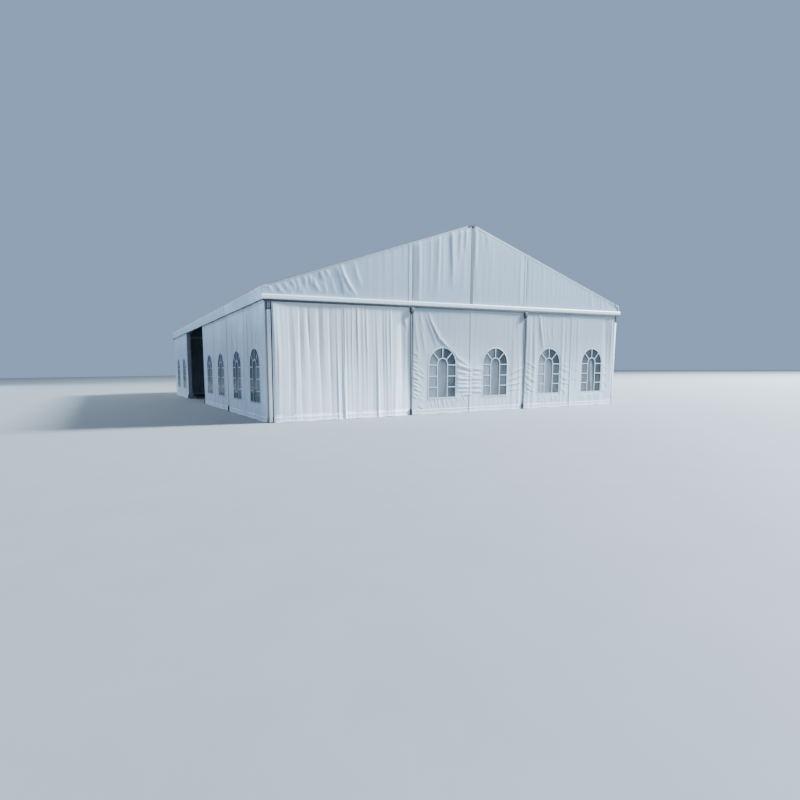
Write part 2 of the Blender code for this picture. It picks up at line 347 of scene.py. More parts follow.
def round_edges(radius: float, segments: int) -> None:
    """Rounds every edge of the active piece and puts its place into its mesh."""
    bpy.ops.object.mode_set(mode="EDIT")
    bpy.ops.mesh.select_all(action="SELECT")
    bpy.ops.mesh.bevel(offset=radius, offset_type="OFFSET", segments=segments, affect="EDGES")
    bpy.ops.object.mode_set(mode="OBJECT")
    settle()


def block(name: str, one: Point, other: Point, edge: float) -> Piece:
    """Models a bar or plate with rounded edges.

    Args:
        name: the piece's name.
        one: one of its corners.
        other: the opposite corner.
        edge: the radius of its edges.

    Returns:
        The piece.
    """
    deselect()
    low, high = zip(*(sorted(pair) for pair in zip(one, other)))
    size = [b - a for a, b in zip(low, high)]
    middle = [(a + b) / 2 for a, b in zip(low, high)]
    bpy.ops.mesh.primitive_cube_add(size=1.0, location=middle)
    piece = bpy.context.object
    bpy.ops.object.mode_set(mode="EDIT")
    bpy.ops.mesh.select_all(action="SELECT")
    bpy.ops.transform.resize(value=size, center_override=middle)
    round_edges(edge, 2)
    smooth(named(piece, name), 35.0)
    return piece


def cylinder(sides: int, radius: float, depth: float, height: float) -> Piece:
    """Adds an upright cylinder whose middle is at a height above the origin."""
    deselect()
    bpy.ops.mesh.primitive_cylinder_add(vertices=sides, radius=radius, depth=depth, location=(0, 0, height))
    return bpy.context.object


def bolt(centre: Point, outward: int, radius: float, height: float = 0.014) -> Piece:
    """Models a six-sided bolt head on a washer.

    Args:
        centre: the middle of the washer's underside.
        outward: the way the head points along Y, -1 or 1.
        radius: the washer's radius.
        height: the height of the head and washer together.

    Returns:
        The piece.
    """
    washer = cylinder(16, radius, height * 0.3, height * 0.15)
    settle()
    head = cylinder(6, radius * 0.62, height * 0.72, height * 0.64)
    round_edges(radius * 0.07, 1)
    made = join("bolt", [washer, head])
    turn = Matrix.Rotation(math.radians(-90 * outward), 4, "X")
    made.data.transform(Matrix.Translation(Vector(centre)) @ turn)
    smooth(made, 30.0)
    return made


# Shader helpers


class Value:
    """One output of a material's nodes, with arithmetic on it."""

    def __init__(self, graph: Graph, socket: bpy.types.NodeSocket) -> None:
        """Wraps a socket of a graph."""
        self.graph = graph
        self.socket = socket

    def _math(self, operation: str, first: Value | float, second: Value | float) -> Value:
        """Adds a Math node and returns its result."""
        return self.graph.node("ShaderNodeMath", {"operation": operation}, {0: first, 1: second})

    def __add__(self, other: Value | float) -> Value:
        """Adds."""
        return self._math("ADD", self, other)

    __radd__ = __add__

    def __sub__(self, other: Value | float) -> Value:
        """Subtracts."""
        return self._math("SUBTRACT", self, other)

    def __rsub__(self, other: Value | float) -> Value:
        """Subtracts this from a number."""
        return self._math("SUBTRACT", other, self)

    def __mul__(self, other: Value | float) -> Value:
        """Multiplies."""
        return self._math("MULTIPLY", self, other)

    __rmul__ = __mul__


class Graph:
    """The nodes of one material."""

    def __init__(self, name: str) -> None:
        """Makes an empty material with a Principled BSDF."""
        self.material = bpy.data.materials.new(name)
        self.material.use_nodes = True
        self.tree = self.material.node_tree
        self.shader = self.tree.nodes["Principled BSDF"]

    def node(self, kind: str, settings: dict, inputs: dict, output: int | str = 0) -> Value:
        """Adds a node.

        Args:
            kind: the node's type.
            settings: its properties, set first.
            inputs: values or links for its sockets, by name or number.
            output: which output is wanted.

        Returns:
            The output, wrapped.
        """
        made = self.tree.nodes.new(kind)
        for key, value in settings.items():
            setattr(made, key, value)
        for key, value in inputs.items():
            self.feed(made.inputs[key], value)
        return Value(self, made.outputs[output])

    def feed(self, socket: bpy.types.NodeSocket, value: Value | float | tuple) -> None:
        """Links or sets one socket."""
        if isinstance(value, Value):
            self.tree.links.new(value.socket, socket)
        else:
            socket.default_value = value

    def surface(self, **inputs: Value | float) -> bpy.types.Material:
        """Feeds the Principled BSDF, its sockets named with underscores, and returns the material."""
        for key, value in inputs.items():
            self.feed(self.shader.inputs[key.replace("_", " ")], value)
        return self.material

    def mix(self, factor: Value, first: Value | Colour, second: Value | Colour) -> Value:
        """Mixes two colours.

        Args:
            factor: the second colour's share.
            first: the colour at a share of 0.
            second: the colour at a share of 1.

        Returns:
            The mixed colour.
        """
        ends = [end if isinstance(end, Value) else (*end, 1.0) for end in (first, second)]
        inputs = {0: factor, 6: ends[0], 7: ends[1]}
        return self.node("ShaderNodeMix", {"data_type": "RGBA"}, inputs, output=2)

    def place(self, source: str = "Object", scale: Point = (1.0, 1.0, 1.0)) -> Value:
        """Returns "Object" or "UV" coordinates, stretched along each axis."""
        where = self.node("ShaderNodeTexCoord", {}, {}, output=source)
        return self.node("ShaderNodeMapping", {}, {"Vector": where, "Scale": scale})

    def noise(self, where: Value, scale: float, detail: float = 3.0, rough: float = 0.55) -> Value:
        """Returns a noise from 0 to 1."""
        inputs = {"Vector": where, "Scale": scale, "Detail": detail, "Roughness": rough}
        return self.node("ShaderNodeTexNoise", {}, inputs)

    def step(self, value: Value, low: float, high: float) -> Value:
        """Returns a smooth step from 0 at low to 1 at high."""
        settings = {"interpolation_type": "SMOOTHSTEP"}
        inputs = {"Value": value, "From Min": low, "From Max": high, "To Min": 0.0, "To Max": 1.0}
        return self.node("ShaderNodeMapRange", settings, inputs)

    def split(self, where: Value, axis: str) -> Value:
        """Returns one axis of coordinates."""
        return self.node("ShaderNodeSeparateXYZ", {}, {"Vector": where}, output=axis)

    def bump(self, height: Value, strength: float, distance: float, **under: Value) -> Value:
        """Returns a normal raised by a height, over another normal where one is given."""
        inputs = {"Height": height, "Strength": strength, "Distance": distance, **under}
        return self.node("ShaderNodeBump", {}, inputs)


# Finishes


def scaled(colour: Colour, factor: float) -> Colour:
    """Returns a colour made darker by a factor."""
    return tuple(factor * part for part in colour)


@dataclass(frozen=True)
class CoatedCloth:
    """White coated cloth with a woven grain, soft creases, fold marks and grime, with darker streaks that are
    partly painted fold shade, and darker towards the top as painted shade.
    """

    name: str
    colour: Colour
    shade: Colour
    grime: float
    wrinkle: float
    # How much painted shade darkens the cloth towards the top.
    painted_top_shade: float = 0.0
    # Colour of the darker streaks: rain marks, and in part painted shade for soft folds.
    rain: Colour = (0.29, 0.32, 0.35)
    splash: Colour = (0.40, 0.38, 0.28)
    threads: float = 260.0
    fold_lines: Place = (0.62, 0.48)

    def _weave(self, graph: Graph, cut: Value) -> Value:
        """Weaves the threads.

        Args:
            graph: the material's nodes.
            cut: the coordinates of the flat cloth, in metres.

        Returns:
            The normal of the woven threads.
        """
        waves = [
            graph.node(
                "ShaderNodeTexWave",
                {"wave_type": "BANDS", "bands_direction": axis},
                {"Vector": cut, "Scale": self.threads},
            )
            for axis in "XY"
        ]
        return graph.bump((waves[0] + waves[1]) * 0.5, 0.10, 0.0006)

    def _fold_marks(self, graph: Graph, cut: Value) -> Value:
        """Marks where the cloth was folded for storage.

        Args:
            graph: the material's nodes.
            cut: the coordinates of the flat cloth, in metres.

        Returns:
            The faint lines, from 0 to 2 where they cross.
        """
        lines = [
            graph.node("ShaderNodeMath", {"operation": "PINGPONG"}, {0: graph.split(cut, axis), 1: gap})
            for axis, gap in zip("XY", self.fold_lines)
        ]
        return graph.step(lines[0], 0.010, 0.0) + graph.step(lines[1], 0.010, 0.0)

    def material(self) -> bpy.types.Material:
        """Builds the material."""
        graph = Graph(self.name)
        where = graph.place()
        cut = graph.place("UV")
        height = graph.split(where, "Z")
        cloudy = graph.step(graph.noise(where, 0.55, 4.0), 0.32, 0.70)
        streak = graph.noise(graph.place(scale=(2.6, 2.6, 0.16)), 1.7, 4.0)
        rain_and_fold_shade = graph.step(streak, 0.52, 0.78)
        speckle = graph.step(graph.noise(where, 9.0, 5.0, 0.7), 0.58, 0.80)
        low_down = 1.0 - graph.step(height + (streak - 0.5) * 0.5, 0.02, 0.42)
        # Painted shade: the cloth darkens with height, standing in for the weaker light higher up.
        painted_top_shade_share = graph.step(height + cloudy * 0.4, 0.35, 3.15) * self.painted_top_shade
        base = graph.mix(cloudy * 0.55, self.colour, self.shade)
        base = graph.mix(painted_top_shade_share, base, scaled(self.shade, 0.6))
        # Darker vertical streaks: partly rain marks, partly painted shade standing in for the stripes between
        # soft folds.
        base = graph.mix(rain_and_fold_shade * (0.22 * self.grime), base, self.rain)
        base = graph.mix(low_down * (0.03 + speckle * 0.45) * self.grime, base, self.splash)
        weave = self._weave(graph, cut)
        marks = self._fold_marks(graph, cut)
        creases = graph.noise(graph.place(scale=(1.0, 1.0, 0.45)), 5.5, 4.0, 0.5)
        relief = creases * self.wrinkle + marks * 0.10
        return graph.surface(
            Base_Color=base,
            Normal=graph.bump(relief, 0.6, 0.012, Normal=weave),
            Roughness=0.40 + cloudy * 0.10 + low_down * 0.2,
            Specular_IOR_Level=0.45,
        )


@dataclass(frozen=True)
class ClearFilm:
    """Clear window film, slightly rippled, with milky haze where it has been folded; each window's left part
    is lighter, partly as painted light, and its right part and top darker as painted shade.
    """

    name: str
    haze: float
    gloss: float
    left_haze_and_painted_light: float
    streak: float = 0.0
    clear: Colour = (0.060, 0.075, 0.085)
    cloudy: Colour = (0.40, 0.44, 0.49)

    def _haze(self, graph: Graph, where: Value) -> Value:
        """Works out how milky the film is, with painted light on its left and painted shade on its right and
        top.

        Args:
            graph: the material's nodes.
            where: the coordinates for its clouds.

        Returns:
            The haze, from 0 to 1.
        """
        cut = graph.place("UV")
        # Partly haze, partly painted light: each window's left part is lighter.
        folded = graph.step(graph.split(cut, "X"), 0.26, -0.40)
        # Painted shade: each window's right part is darker.
        shaded = graph.step(graph.split(cut, "X"), 0.16, 0.36)
        # Painted shade: each window's top is darker.
        painted_film_top_shade = graph.step(graph.split(cut, "Y"), 1.56, 2.00)
        cloud = graph.noise(where, 2.2, 4.0, 0.6) - 0.5
        across = graph.split(cut, "X") + graph.split(cut, "Y") * 0.10 - 0.15
        line = graph.step(across, -0.11, -0.05) * graph.step(across, 0.08, 0.02)
        haze = self.haze + line * self.streak * (1.0 - painted_film_top_shade) + folded * self.left_haze_and_painted_light
        haze = haze - painted_film_top_shade * (0.08 + self.left_haze_and_painted_light * 0.75) - shaded * 0.22 + cloud * 0.45
        return graph.node("ShaderNodeClamp", {}, {"Value": haze, "Min": 0.0, "Max": 1.0})

    def material(self) -> bpy.types.Material:
        """Builds the material."""
        graph = Graph(self.name)
        where = graph.place(scale=(1.0, 1.0, 0.8))
        haze = self._haze(graph, where)
        fine = graph.step(graph.noise(where, 7.0, 3.0), 0.45, 0.75)
        base = graph.mix(haze, self.clear, self.cloudy)
        ripple = graph.noise(graph.place(scale=(1.0, 1.0, 0.5)), 4.5, 2.0)
        return graph.surface(
            Base_Color=base,
            Roughness=0.12 + haze * 0.22 + fine * 0.05,
            Alpha=0.58 + haze * 0.30 + fine * 0.05,
            Normal=graph.bump(ripple, 0.4, 0.02),
            Specular_IOR_Level=self.gloss,
        )


@dataclass(frozen=True)
class Extrusion:
    """Aluminium as it leaves the die: drawn lines, dull patches and dirt near the ground."""

    name: str
    colour: Colour
    roughness: float
    metallic: float = 0.9
    earth: Colour = (0.24, 0.20, 0.14)

    def material(self) -> bpy.types.Material:
        """Builds the material."""
        graph = Graph(self.name)
        where = graph.place()
        height = graph.split(where, "Z")
        dull = graph.step(graph.noise(where, 1.3, 5.0, 0.6), 0.35, 0.72)
        scratch = graph.step(graph.noise(graph.place(scale=(40.0, 40.0, 3.0)), 1.0, 3.0), 0.60, 0.72)
        soil = (1.0 - graph.step(height, 0.0, 0.45)) * graph.step(graph.noise(where, 6.0, 4.0), 0.42, 0.62)
        base = graph.mix(dull * 0.7, self.colour, scaled(self.colour, 0.80))
        base = graph.mix(soil * 0.65, base, self.earth)
        drawn = graph.noise(graph.place(scale=(140.0, 140.0, 0.6)), 1.0, 2.0)
        return graph.surface(
            Base_Color=base,
            Roughness=self.roughness + dull * 0.12 + scratch * 0.10 + soil * 0.3,
            Metallic=self.metallic - soil * (0.8 * self.metallic),
            Normal=graph.bump(drawn, 0.12, 0.001),
        )


@dataclass(frozen=True)
class Painted:
    """A white painted beam with light scuffs and rain marks."""

    name: str
    colour: Colour
    roughness: float = 0.38
    rain: Colour = (0.45, 0.46, 0.44)
    worn: Colour = (0.52, 0.54, 0.55)

    def material(self) -> bpy.types.Material:
        """Builds the material."""
        graph = Graph(self.name)
        where = graph.place()
        scuff = graph.step(graph.noise(graph.place(scale=(3.0, 3.0, 18.0)), 2.2, 5.0, 0.7), 0.60, 0.74)
        rain = graph.step(graph.noise(graph.place(scale=(9.0, 9.0, 0.6)), 1.0, 3.0), 0.52, 0.74)
        base = graph.mix(graph.noise(where, 1.1, 4.0), self.colour, scaled(self.colour, 0.88))
        base = graph.mix(rain * 0.18, base, self.rain)
        base = graph.mix(scuff * 0.35, base, self.worn)
        peel = graph.noise(where, 60.0, 2.0)
        roughness = self.roughness + scuff * 0.2
        return graph.surface(Base_Color=base, Roughness=roughness, Normal=graph.bump(peel, 0.08, 0.001))


@dataclass(frozen=True)
class DarkMetal:
    """Dark steel of brackets, rails and caps, with worn edges."""

    name: str
    colour: Colour
    roughness: float = 0.5
    metallic: float = 0.5

    def material(self) -> bpy.types.Material:
        """Builds the material."""
        graph = Graph(self.name)
        where = graph.place()
        patch = graph.step(graph.noise(where, 12.0, 5.0, 0.65), 0.42, 0.70)
        lighter = tuple(1.9 * part + 0.02 for part in self.colour)
        return graph.surface(
            Base_Color=graph.mix(patch * 0.6, self.colour, lighter),
            Roughness=self.roughness + patch * 0.15,
            Metallic=self.metallic,
            Normal=graph.bump(graph.noise(where, 90.0, 2.0), 0.15, 0.0006),
        )


class Finish(Enum):
    """Every finish of the tent."""

    # The sixth value of a wall cloth sets its painted shade towards the top.
    WALL = CoatedCloth("curtain_cloth", (0.70, 0.785, 0.875), (0.63, 0.715, 0.80), 0.8, 0.55, 1.0)
    # The side walls' larger grime makes their streaks darker, partly as painted fold shade.
    SIDE_WALL = CoatedCloth("side_curtain_cloth", (0.74, 0.83, 0.92), (0.635, 0.72, 0.805), 1.6, 0.75, 1.0)
    ROOF = CoatedCloth("cover_cloth", (0.365, 0.448, 0.525), (0.325, 0.408, 0.485), 0.5, 0.40)
    TRIM = CoatedCloth("welded_strip", (0.62, 0.68, 0.745), (0.545, 0.61, 0.675), 0.4, 0.10)
    # A brighter copy of the curtain cloth, for the front's first bay, which has no window.
    PLAIN_WALL = CoatedCloth("newer_curtain_cloth", (0.90, 0.96, 1.0), (0.83, 0.90, 0.965), 0.6, 0.5, 0.80)
    # Darker strip cloth of the gable's seam strips, also worn by the side windows' bars as painted shade.
    TAPE = CoatedCloth("zip_tape", (0.48, 0.53, 0.585), (0.40, 0.45, 0.50), 0.5, 0.10)
    # The third value of each film sets how much lighter its left part is, partly haze and partly painted
    # light.
    FILM = ClearFilm("hazed_film", 0.36, 0.5, 0.36)
    MILKY_FILM = ClearFilm("milky_film", 0.36, 0.5, 0.50)
    WORN_FILM = ClearFilm("worn_film", 0.15, 0.5, 0.20, 0.45)
    SIDE_FILM = ClearFilm("clear_film", 0.02, 0.25, 0.30)
    METAL = Extrusion("dull_aluminium", (0.46, 0.49, 0.52), 0.45, 0.55)
    # Partly painted light: paler than the frame's aluminium, making up for the shade on the recessed corner
    # legs.
    BRIGHT = Extrusion("pale_aluminium", (0.92, 0.95, 0.98), 0.50, 0.0)
    # Much darker than the frame's aluminium: on the gable's middle seam strip and the strips down the roof's
    # edges.
    TRACK = Extrusion("worn_track", (0.135, 0.15, 0.165), 0.50, 0.30)
    ZINC = Extrusion("zinc_steel", (0.50, 0.52, 0.54), 0.42, 0.8)
    BEAM = Painted("beam_paint", (0.78, 0.82, 0.86))
    DARK = DarkMetal("dark_bracket", (0.060, 0.068, 0.073))
    # Partly painted shade: dark strips standing in for the shadowed gaps beside the posts.
    SEAL = DarkMetal("edge_seal", (0.050, 0.056, 0.060), 0.7, 0.0)

    @cached_property
    def material(self) -> bpy.types.Material:
        """The finish's material, built when it is first asked for."""
        return self.value.material()


# How cloth hangs


def crest(aside: Array, before: float, after: float) -> Array:
    """Returns a ridge of height 1 with a crisp crest.

    Args:
        aside: distance from the crest in widths.
        before: how far the flank with positive distances reaches, in widths.
        after: how far the other flank reaches, in widths.

    Returns:
        The ridge's height at each distance.
    """
    rounding, level = 0.032, 0.18
    reach = np.where(aside > 0, before, after)
    return np.exp(level - np.sqrt((aside / reach) ** 2 + rounding))


class Relief(ABC):
    """Anything that raises the cloth out of its plane."""

    @abstractmethod
    def lift(self, along: Array, up: Array) -> Array:
        """Works out the relief at places on a wall.

        Args:
            along: each point's place along the wall.
            up: its height above the ground.

        Returns:
            How far each point is raised.
        """


@dataclass(frozen=True)
class Crease(Relief):
    """A ridge in the cloth along a path of places, with a trough on its lower side."""

    path: tuple[Place, ...]
    height: float
    width: float
    trough: float = 0.5
    shaded: float = 0.95
    lit: float = 0.65

    def lift(self, along: Array, up: Array) -> Array:
        """Returns how far the crease raises each point of the cloth."""
        steps = [math.dist(a, b) for a, b in zip(self.path, self.path[1:])]
        nearest = np.full(len(along), np.inf)
        aside, travelled = np.zeros(len(along)), np.zeros(len(along))
        before = 0.0
        for start, end, length in zip(self.path, self.path[1:], steps):
            run = ((end[0] - start[0]) / length, (end[1] - start[1]) / length)
            across, over = along - start[0], up - start[1]
            place = np.clip(across * run[0] + over * run[1], 0.0, length)
            away = np.hypot(across - place * run[0], over - place * run[1])
            closer = away < nearest
            nearest = np.where(closer, away, nearest)
            side = np.sign(across * run[1] - over * run[0])
            aside = np.where(closer, side * away / self.width, aside)
            travelled = np.where(closer, (before + place) / sum(steps), travelled)
            before += length
        taper = np.abs(np.sin(np.pi * np.clip(travelled, 0.0, 1.0))) ** 0.6
        ridge = crest(aside, self.shaded, self.lit) - self.trough * bell(aside, 1.5, 0.7)
        return self.height * taper * ridge


@dataclass(frozen=True)
class Fold(Relief):
    """An upright fold whose crest wanders from the foot of the cloth to its head."""

    places: tuple[float, ...]
    height: float
    width: float = 0.09
    valley: float = 0.35
    levels: tuple[float, ...] = (0.4, 1.3, 2.1, 3.1)
    flanks: Place = (1.5, 0.6)

    def lift(self, along: Array, up: Array) -> Array:
        """Returns how far the fold raises each point of the cloth."""
        aside = (np.interp(up, self.levels, self.places) - along) / self.width
        shaded, lit = self.flanks if self.height > 0 else reversed(self.flanks)
        ridge = crest(aside, shaded, lit) - self.valley * bell(aside, 1.2, 0.55)
        fullest = 1.75 + 1.25 * math.sin(57.0 * self.places[0])
        fading = 0.5 + 0.4 * math.sin(90.0 * self.places[0])
        strength = 0.30 + 0.95 * bell(up, fullest, 1.35)
        strength *= 0.45 + 0.55 * share(self.levels[-1] + 0.5 - up, fading)
        return self.height * strength * ridge


@dataclass(frozen=True)
class Pleats(Relief):
    """Soft upright folds of uneven width that hang from a held edge."""

    seed: int
    widths: tuple[float, float]
    height: float
    reach: tuple[float, float]
    lean: float = 0.05
    fade_top: float = 0.5
    top: float = 3.6
    droop: float = 0.0

    def lift(self, along: Array, up: Array) -> Array:
        """Returns how far the folds raise each point of the cloth."""
        random = np.random.default_rng(self.seed)
        low, high = self.reach
        count = int((high - low + 1.0) / self.widths[0]) + 4
        widths = random.uniform(*self.widths, count)
        edges = low - 0.5 + np.concatenate([[0.0], np.cumsum(widths)])
        heights = random.uniform(0.25, 1.0, count)
        crests = random.uniform(0.25, 0.55, count)
        phase = random.uniform(0, 2 * np.pi, 4)
        slow = np.sin(along * 1.3 + phase[0] + up * 0.55)
        quick = np.sin(along * 3.1 + phase[1] - up * 1.2)
        drift = self.lean * (slow + 0.5 * quick)
        place = np.clip(along + drift, edges[0] + 1e-6, edges[-1] - 1e-6)
        index = np.clip(np.searchsorted(edges, place) - 1, 0, count - 1)
        inside = (place - edges[index]) / widths[index]
        peak = crests[index]
        climb = np.where(inside < peak, inside / peak, (1.0 - inside) / (1.0 - peak))
        wave = np.clip(climb, 0.0, 1.0) ** 1.6 * heights[index]
        breathe = 0.65 + 0.35 * np.sin(up * 1.7 + phase[2] + heights[index] * 9.0)
        if self.droop:
            held = np.exp(-np.clip(self.top - up, 0, None) / self.droop)
        else:
            held = eased(share(self.top - up, self.fade_top))
        edge = share(np.minimum(along - low, high - along), 0.12)
        return self.height * wave * breathe * held * edge


@dataclass(frozen=True)
class Billow(Relief):
    """A wide, shallow swell of the cloth."""

    seed: int
    height: float

    def lift(self, along: Array, up: Array) -> Array:
        """Returns how far the swell raises each point of the cloth."""
        random = np.random.default_rng(self.seed)
        total = np.zeros_like(along)
        for scale in (0.9, 1.7, 2.9):
            turn, phase = random.uniform(0, 2 * np.pi, 2)
            total += np.sin((along * np.cos(turn) + up * np.sin(turn) * 0.7) * scale + phase) / scale
        return self.height * total


def arch_gap(along: Array, up: Array, middle: float) -> Array:
    """Measures how far points lie from a window's outline.

    Args:
        along: each point's place along the wall.
        up: its height above the ground.
        middle: the window's middle along the wall.

    Returns:
        The distance of each point outside the outline, negative inside.
    """
    aside = np.abs(along - middle)
    round_part = np.hypot(aside, up - WINDOW_SPRING) - WINDOW_HALF
    square_part = np.maximum(aside - WINDOW_HALF, WINDOW_SILL - up)
    return np.where(up >= WINDOW_SPRING, round_part, square_part)


def window_creases(seed: int, middle: float, low: float, high: float) -> list[Crease]:
    """Makes the small creases around a welded window.

    Args:
        seed: picks the creases.
        middle: the window's middle along the wall.
        low: the start of its curtain.
        high: the end of its curtain.

    Returns:
        The creases.
    """
    random = np.random.default_rng(seed)
    found = []
    for side, edge in ((-1, low), (1, high)):
        near = middle + side * (WINDOW_HALF + 0.05)
        for up in np.arange(0.62, 1.95, 0.125):
            if random.random() < 0.30:
                continue
            reach = random.uniform(0.45, 1.0) * abs(edge - near)
            tilt = random.uniform(-0.09, 0.09)
            path = ((near, up), (near + side * reach, up + tilt))
            found.append(Crease(path, random.uniform(0.004, 0.009), random.uniform(0.026, 0.042), 0.7))
    for place in np.arange(middle - 0.5, middle + 0.51, 0.14):
        if random.random() < 0.25:
            continue
        lean = random.uniform(-0.06, 0.10)
        path = ((place, WINDOW_SILL - 0.05), (place + lean, random.uniform(0.16, 0.34)))
        found.append(Crease(path, random.uniform(0.004, 0.008), random.uniform(0.028, 0.040), 0.6))
    side = 1 if random.random() < 0.5 else -1
    bend = (middle - side * random.uniform(0.02, 0.15), WINDOW_SPRING + WINDOW_HALF + 0.14)
    start = (middle - side * random.uniform(0.45, 0.8), 3.25)
    path = (start, bend, (middle + side * 0.62, WINDOW_SPRING + 0.16))
    found.append(Crease(path, random.uniform(0.010, 0.018), random.uniform(0.045, 0.065), 0.6))
    return found


# Windows


def line(start: Place, end: Place, cells: int) -> Array:
    """Returns points of a straight path."""
    steps = np.linspace(0.0, 1.0, cells + 1)[:, None]
    return np.array(start) * (1 - steps) + np.array(end) * steps


def strip(name: str, path: Array, width: float) -> Piece:
    """Lays a flat strip along a path in the wall's plane.

    Args:
        name: the piece's name.
        path: points along the wall and up, one row each.
        width: the strip's width.

    Returns:
        The strip, with X along the wall and Z up, facing -Y.
    """
    piece = grid(name, np.linspace(-0.5, 0.5, 3), np.arange(len(path), dtype=float))
    points = points_of(piece)
    run = np.gradient(path, axis=0)
    run /= np.linalg.norm(run, axis=1, keepdims=True)
    normal = np.stack([run[:, 1], -run[:, 0]], axis=1)
    index = np.rint(points[:, 1]).astype(int)
    flat = path[index] + normal[index] * (points[:, :1] * width)
    set_points(piece, np.stack([flat[:, 0], np.zeros(len(flat)), flat[:, 1]], axis=1))
    return piece


@dataclass(frozen=True)
class WindowPattern:
    """The flat pattern of every window: a welded border, glazing bars and the film."""

    border: float = 0.050
    bar: float = 0.031
    inner_half: float = 0.208
    sill_bars: tuple[float, ...] = (0.915, 1.29, 1.675)
    rays: tuple[float, ...] = (45.0, 90.0, 135.0)
    tuck: float = 0.3
    layer: float = 0.0004

    def _outline(self, half: float) -> Array:
        """Returns an arched path from one foot on the sill round to the other."""
        right = line((half, WINDOW_SILL), (half, WINDOW_SPRING), 18)[:-1]
        turn = np.radians(np.linspace(0.0, 180.0, 37))
        over = np.stack([half * np.cos(turn), WINDOW_SPRING + half * np.sin(turn)], axis=1)
        left = line((-half, WINDOW_SPRING), (-half, WINDOW_SILL), 18)[1:]
        return np.concatenate([right, over, left])

    def bars(self) -> Piece:
        """Models the border and bars, flat, about a middle of 0."""
        near, far = self.inner_half + self.bar * self.tuck, WINDOW_HALF + self.border * self.tuck
        corner = WINDOW_HALF + self.border
        parts = [
            strip("ring", self._outline(WINDOW_HALF + self.border / 2), self.border),
            strip("foot", line((-corner, WINDOW_SILL), (corner, WINDOW_SILL), 24), self.border),
            strip("inner", self._outline(self.inner_half), self.bar),
        ]
        for up in self.sill_bars:
            for side in (-1, 1):
                parts.append(strip("cross", line((side * near, up), (side * far, up), 5), self.bar))
        for turn in self.rays:
            way = np.array([math.cos(math.radians(turn)), math.sin(math.radians(turn))])
            hub = np.array([0.0, WINDOW_SPRING])
            parts.append(strip("ray", line(hub + way * near, hub + way * far, 5), self.bar))
        for number, part in enumerate(parts):
            part.data.transform(Matrix.Translation((0.0, -self.layer * (number % 4), 0.0)))
        return join("window_bars_flat", parts)

    def film(self) -> Piece:
        """Models the film, flat, about a middle of 0, a little larger than the opening."""
        welt = self.border * 0.8
        edge = WINDOW_HALF + welt
        straight = np.linspace(WINDOW_SILL - welt, WINDOW_SPRING, 24)[:-1]
        arched = WINDOW_SPRING + edge * np.sin(np.radians(np.linspace(0, 90, 16)))
        piece = grid("window_film_flat", np.linspace(-1.0, 1.0, 17), np.concatenate([straight, arched]))
        points = points_of(piece)
        rise = share(points[:, 1] - WINDOW_SPRING, edge)
        half = edge * np.sqrt(1.0 - rise**2)
        set_points(piece, np.stack([points[:, 0] * half, np.zeros(len(points)), points[:, 1]], axis=1))
        activate(piece)
        bpy.ops.object.mode_set(mode="EDIT")
        bpy.ops.mesh.select_all(action="SELECT")
        bpy.ops.mesh.remove_doubles(threshold=0.0005)
        bpy.ops.object.mode_set(mode="OBJECT")
        return piece


@dataclass
class ArchedWindow:
    """One arched window, hung in its curtain: clear film under a border and glazing bars."""

    facing: Facing
    middle: float
    drape: Drape
    film_finish: Finish
    film_out: float = -0.0045
    bars_out: float = 0.0035
    size: Place = (2 * WINDOW_HALF + 0.08, WINDOW_SPRING + WINDOW_HALF - WINDOW_SILL + 0.08)
    filled: float = 0.87

    def _lay(self, flat: Piece, name: str, out: float) -> Piece:
        """Lays a flat model on the hanging cloth.

        Args:
            flat: the model.
            name: the new piece's name.
            out: how far outside the cloth's own face it lies.

        Returns:
            The piece.
        """
        piece = copied(flat, name, Matrix.Translation((self.middle, 0.0, 0.0)))
        points = points_of(piece)
        along, up = points[:, 0].copy(), points[:, 2].copy()
        lift = self.drape.out(along, up) + out - points[:, 1]
        set_points(piece, self.facing.place(along, lift, up))
        set_uv(piece, along - self.middle, up)
        return piece

    def build(self, name: str, bars: Piece, film: Piece) -> list[Piece]:
        """Hangs the window.

        Args:
            name: the first words of its pieces' names.
            bars: the flat model of the border and bars.
            film: the flat model of the film.

        Returns:
            Its film and its bars.
        """
        inward = self.facing.mirrored
        glazing = self._lay(film, f"{name}_film", self.film_out)
        sew(glazing, self.film_finish, inward, FILM_THICKNESS)
        frame = self._lay(bars, f"{name}_bars", self.bars_out)
        # The side windows' bars take the darker cloth as painted shade for the shade they lie in.
        sew(frame, Finish.TRIM if self.facing.gable else Finish.TAPE, inward, BARS_THICKNESS)
        area = self.size[0] * self.size[1] * self.filled
        return [glazing, frame]


# Curtain walls


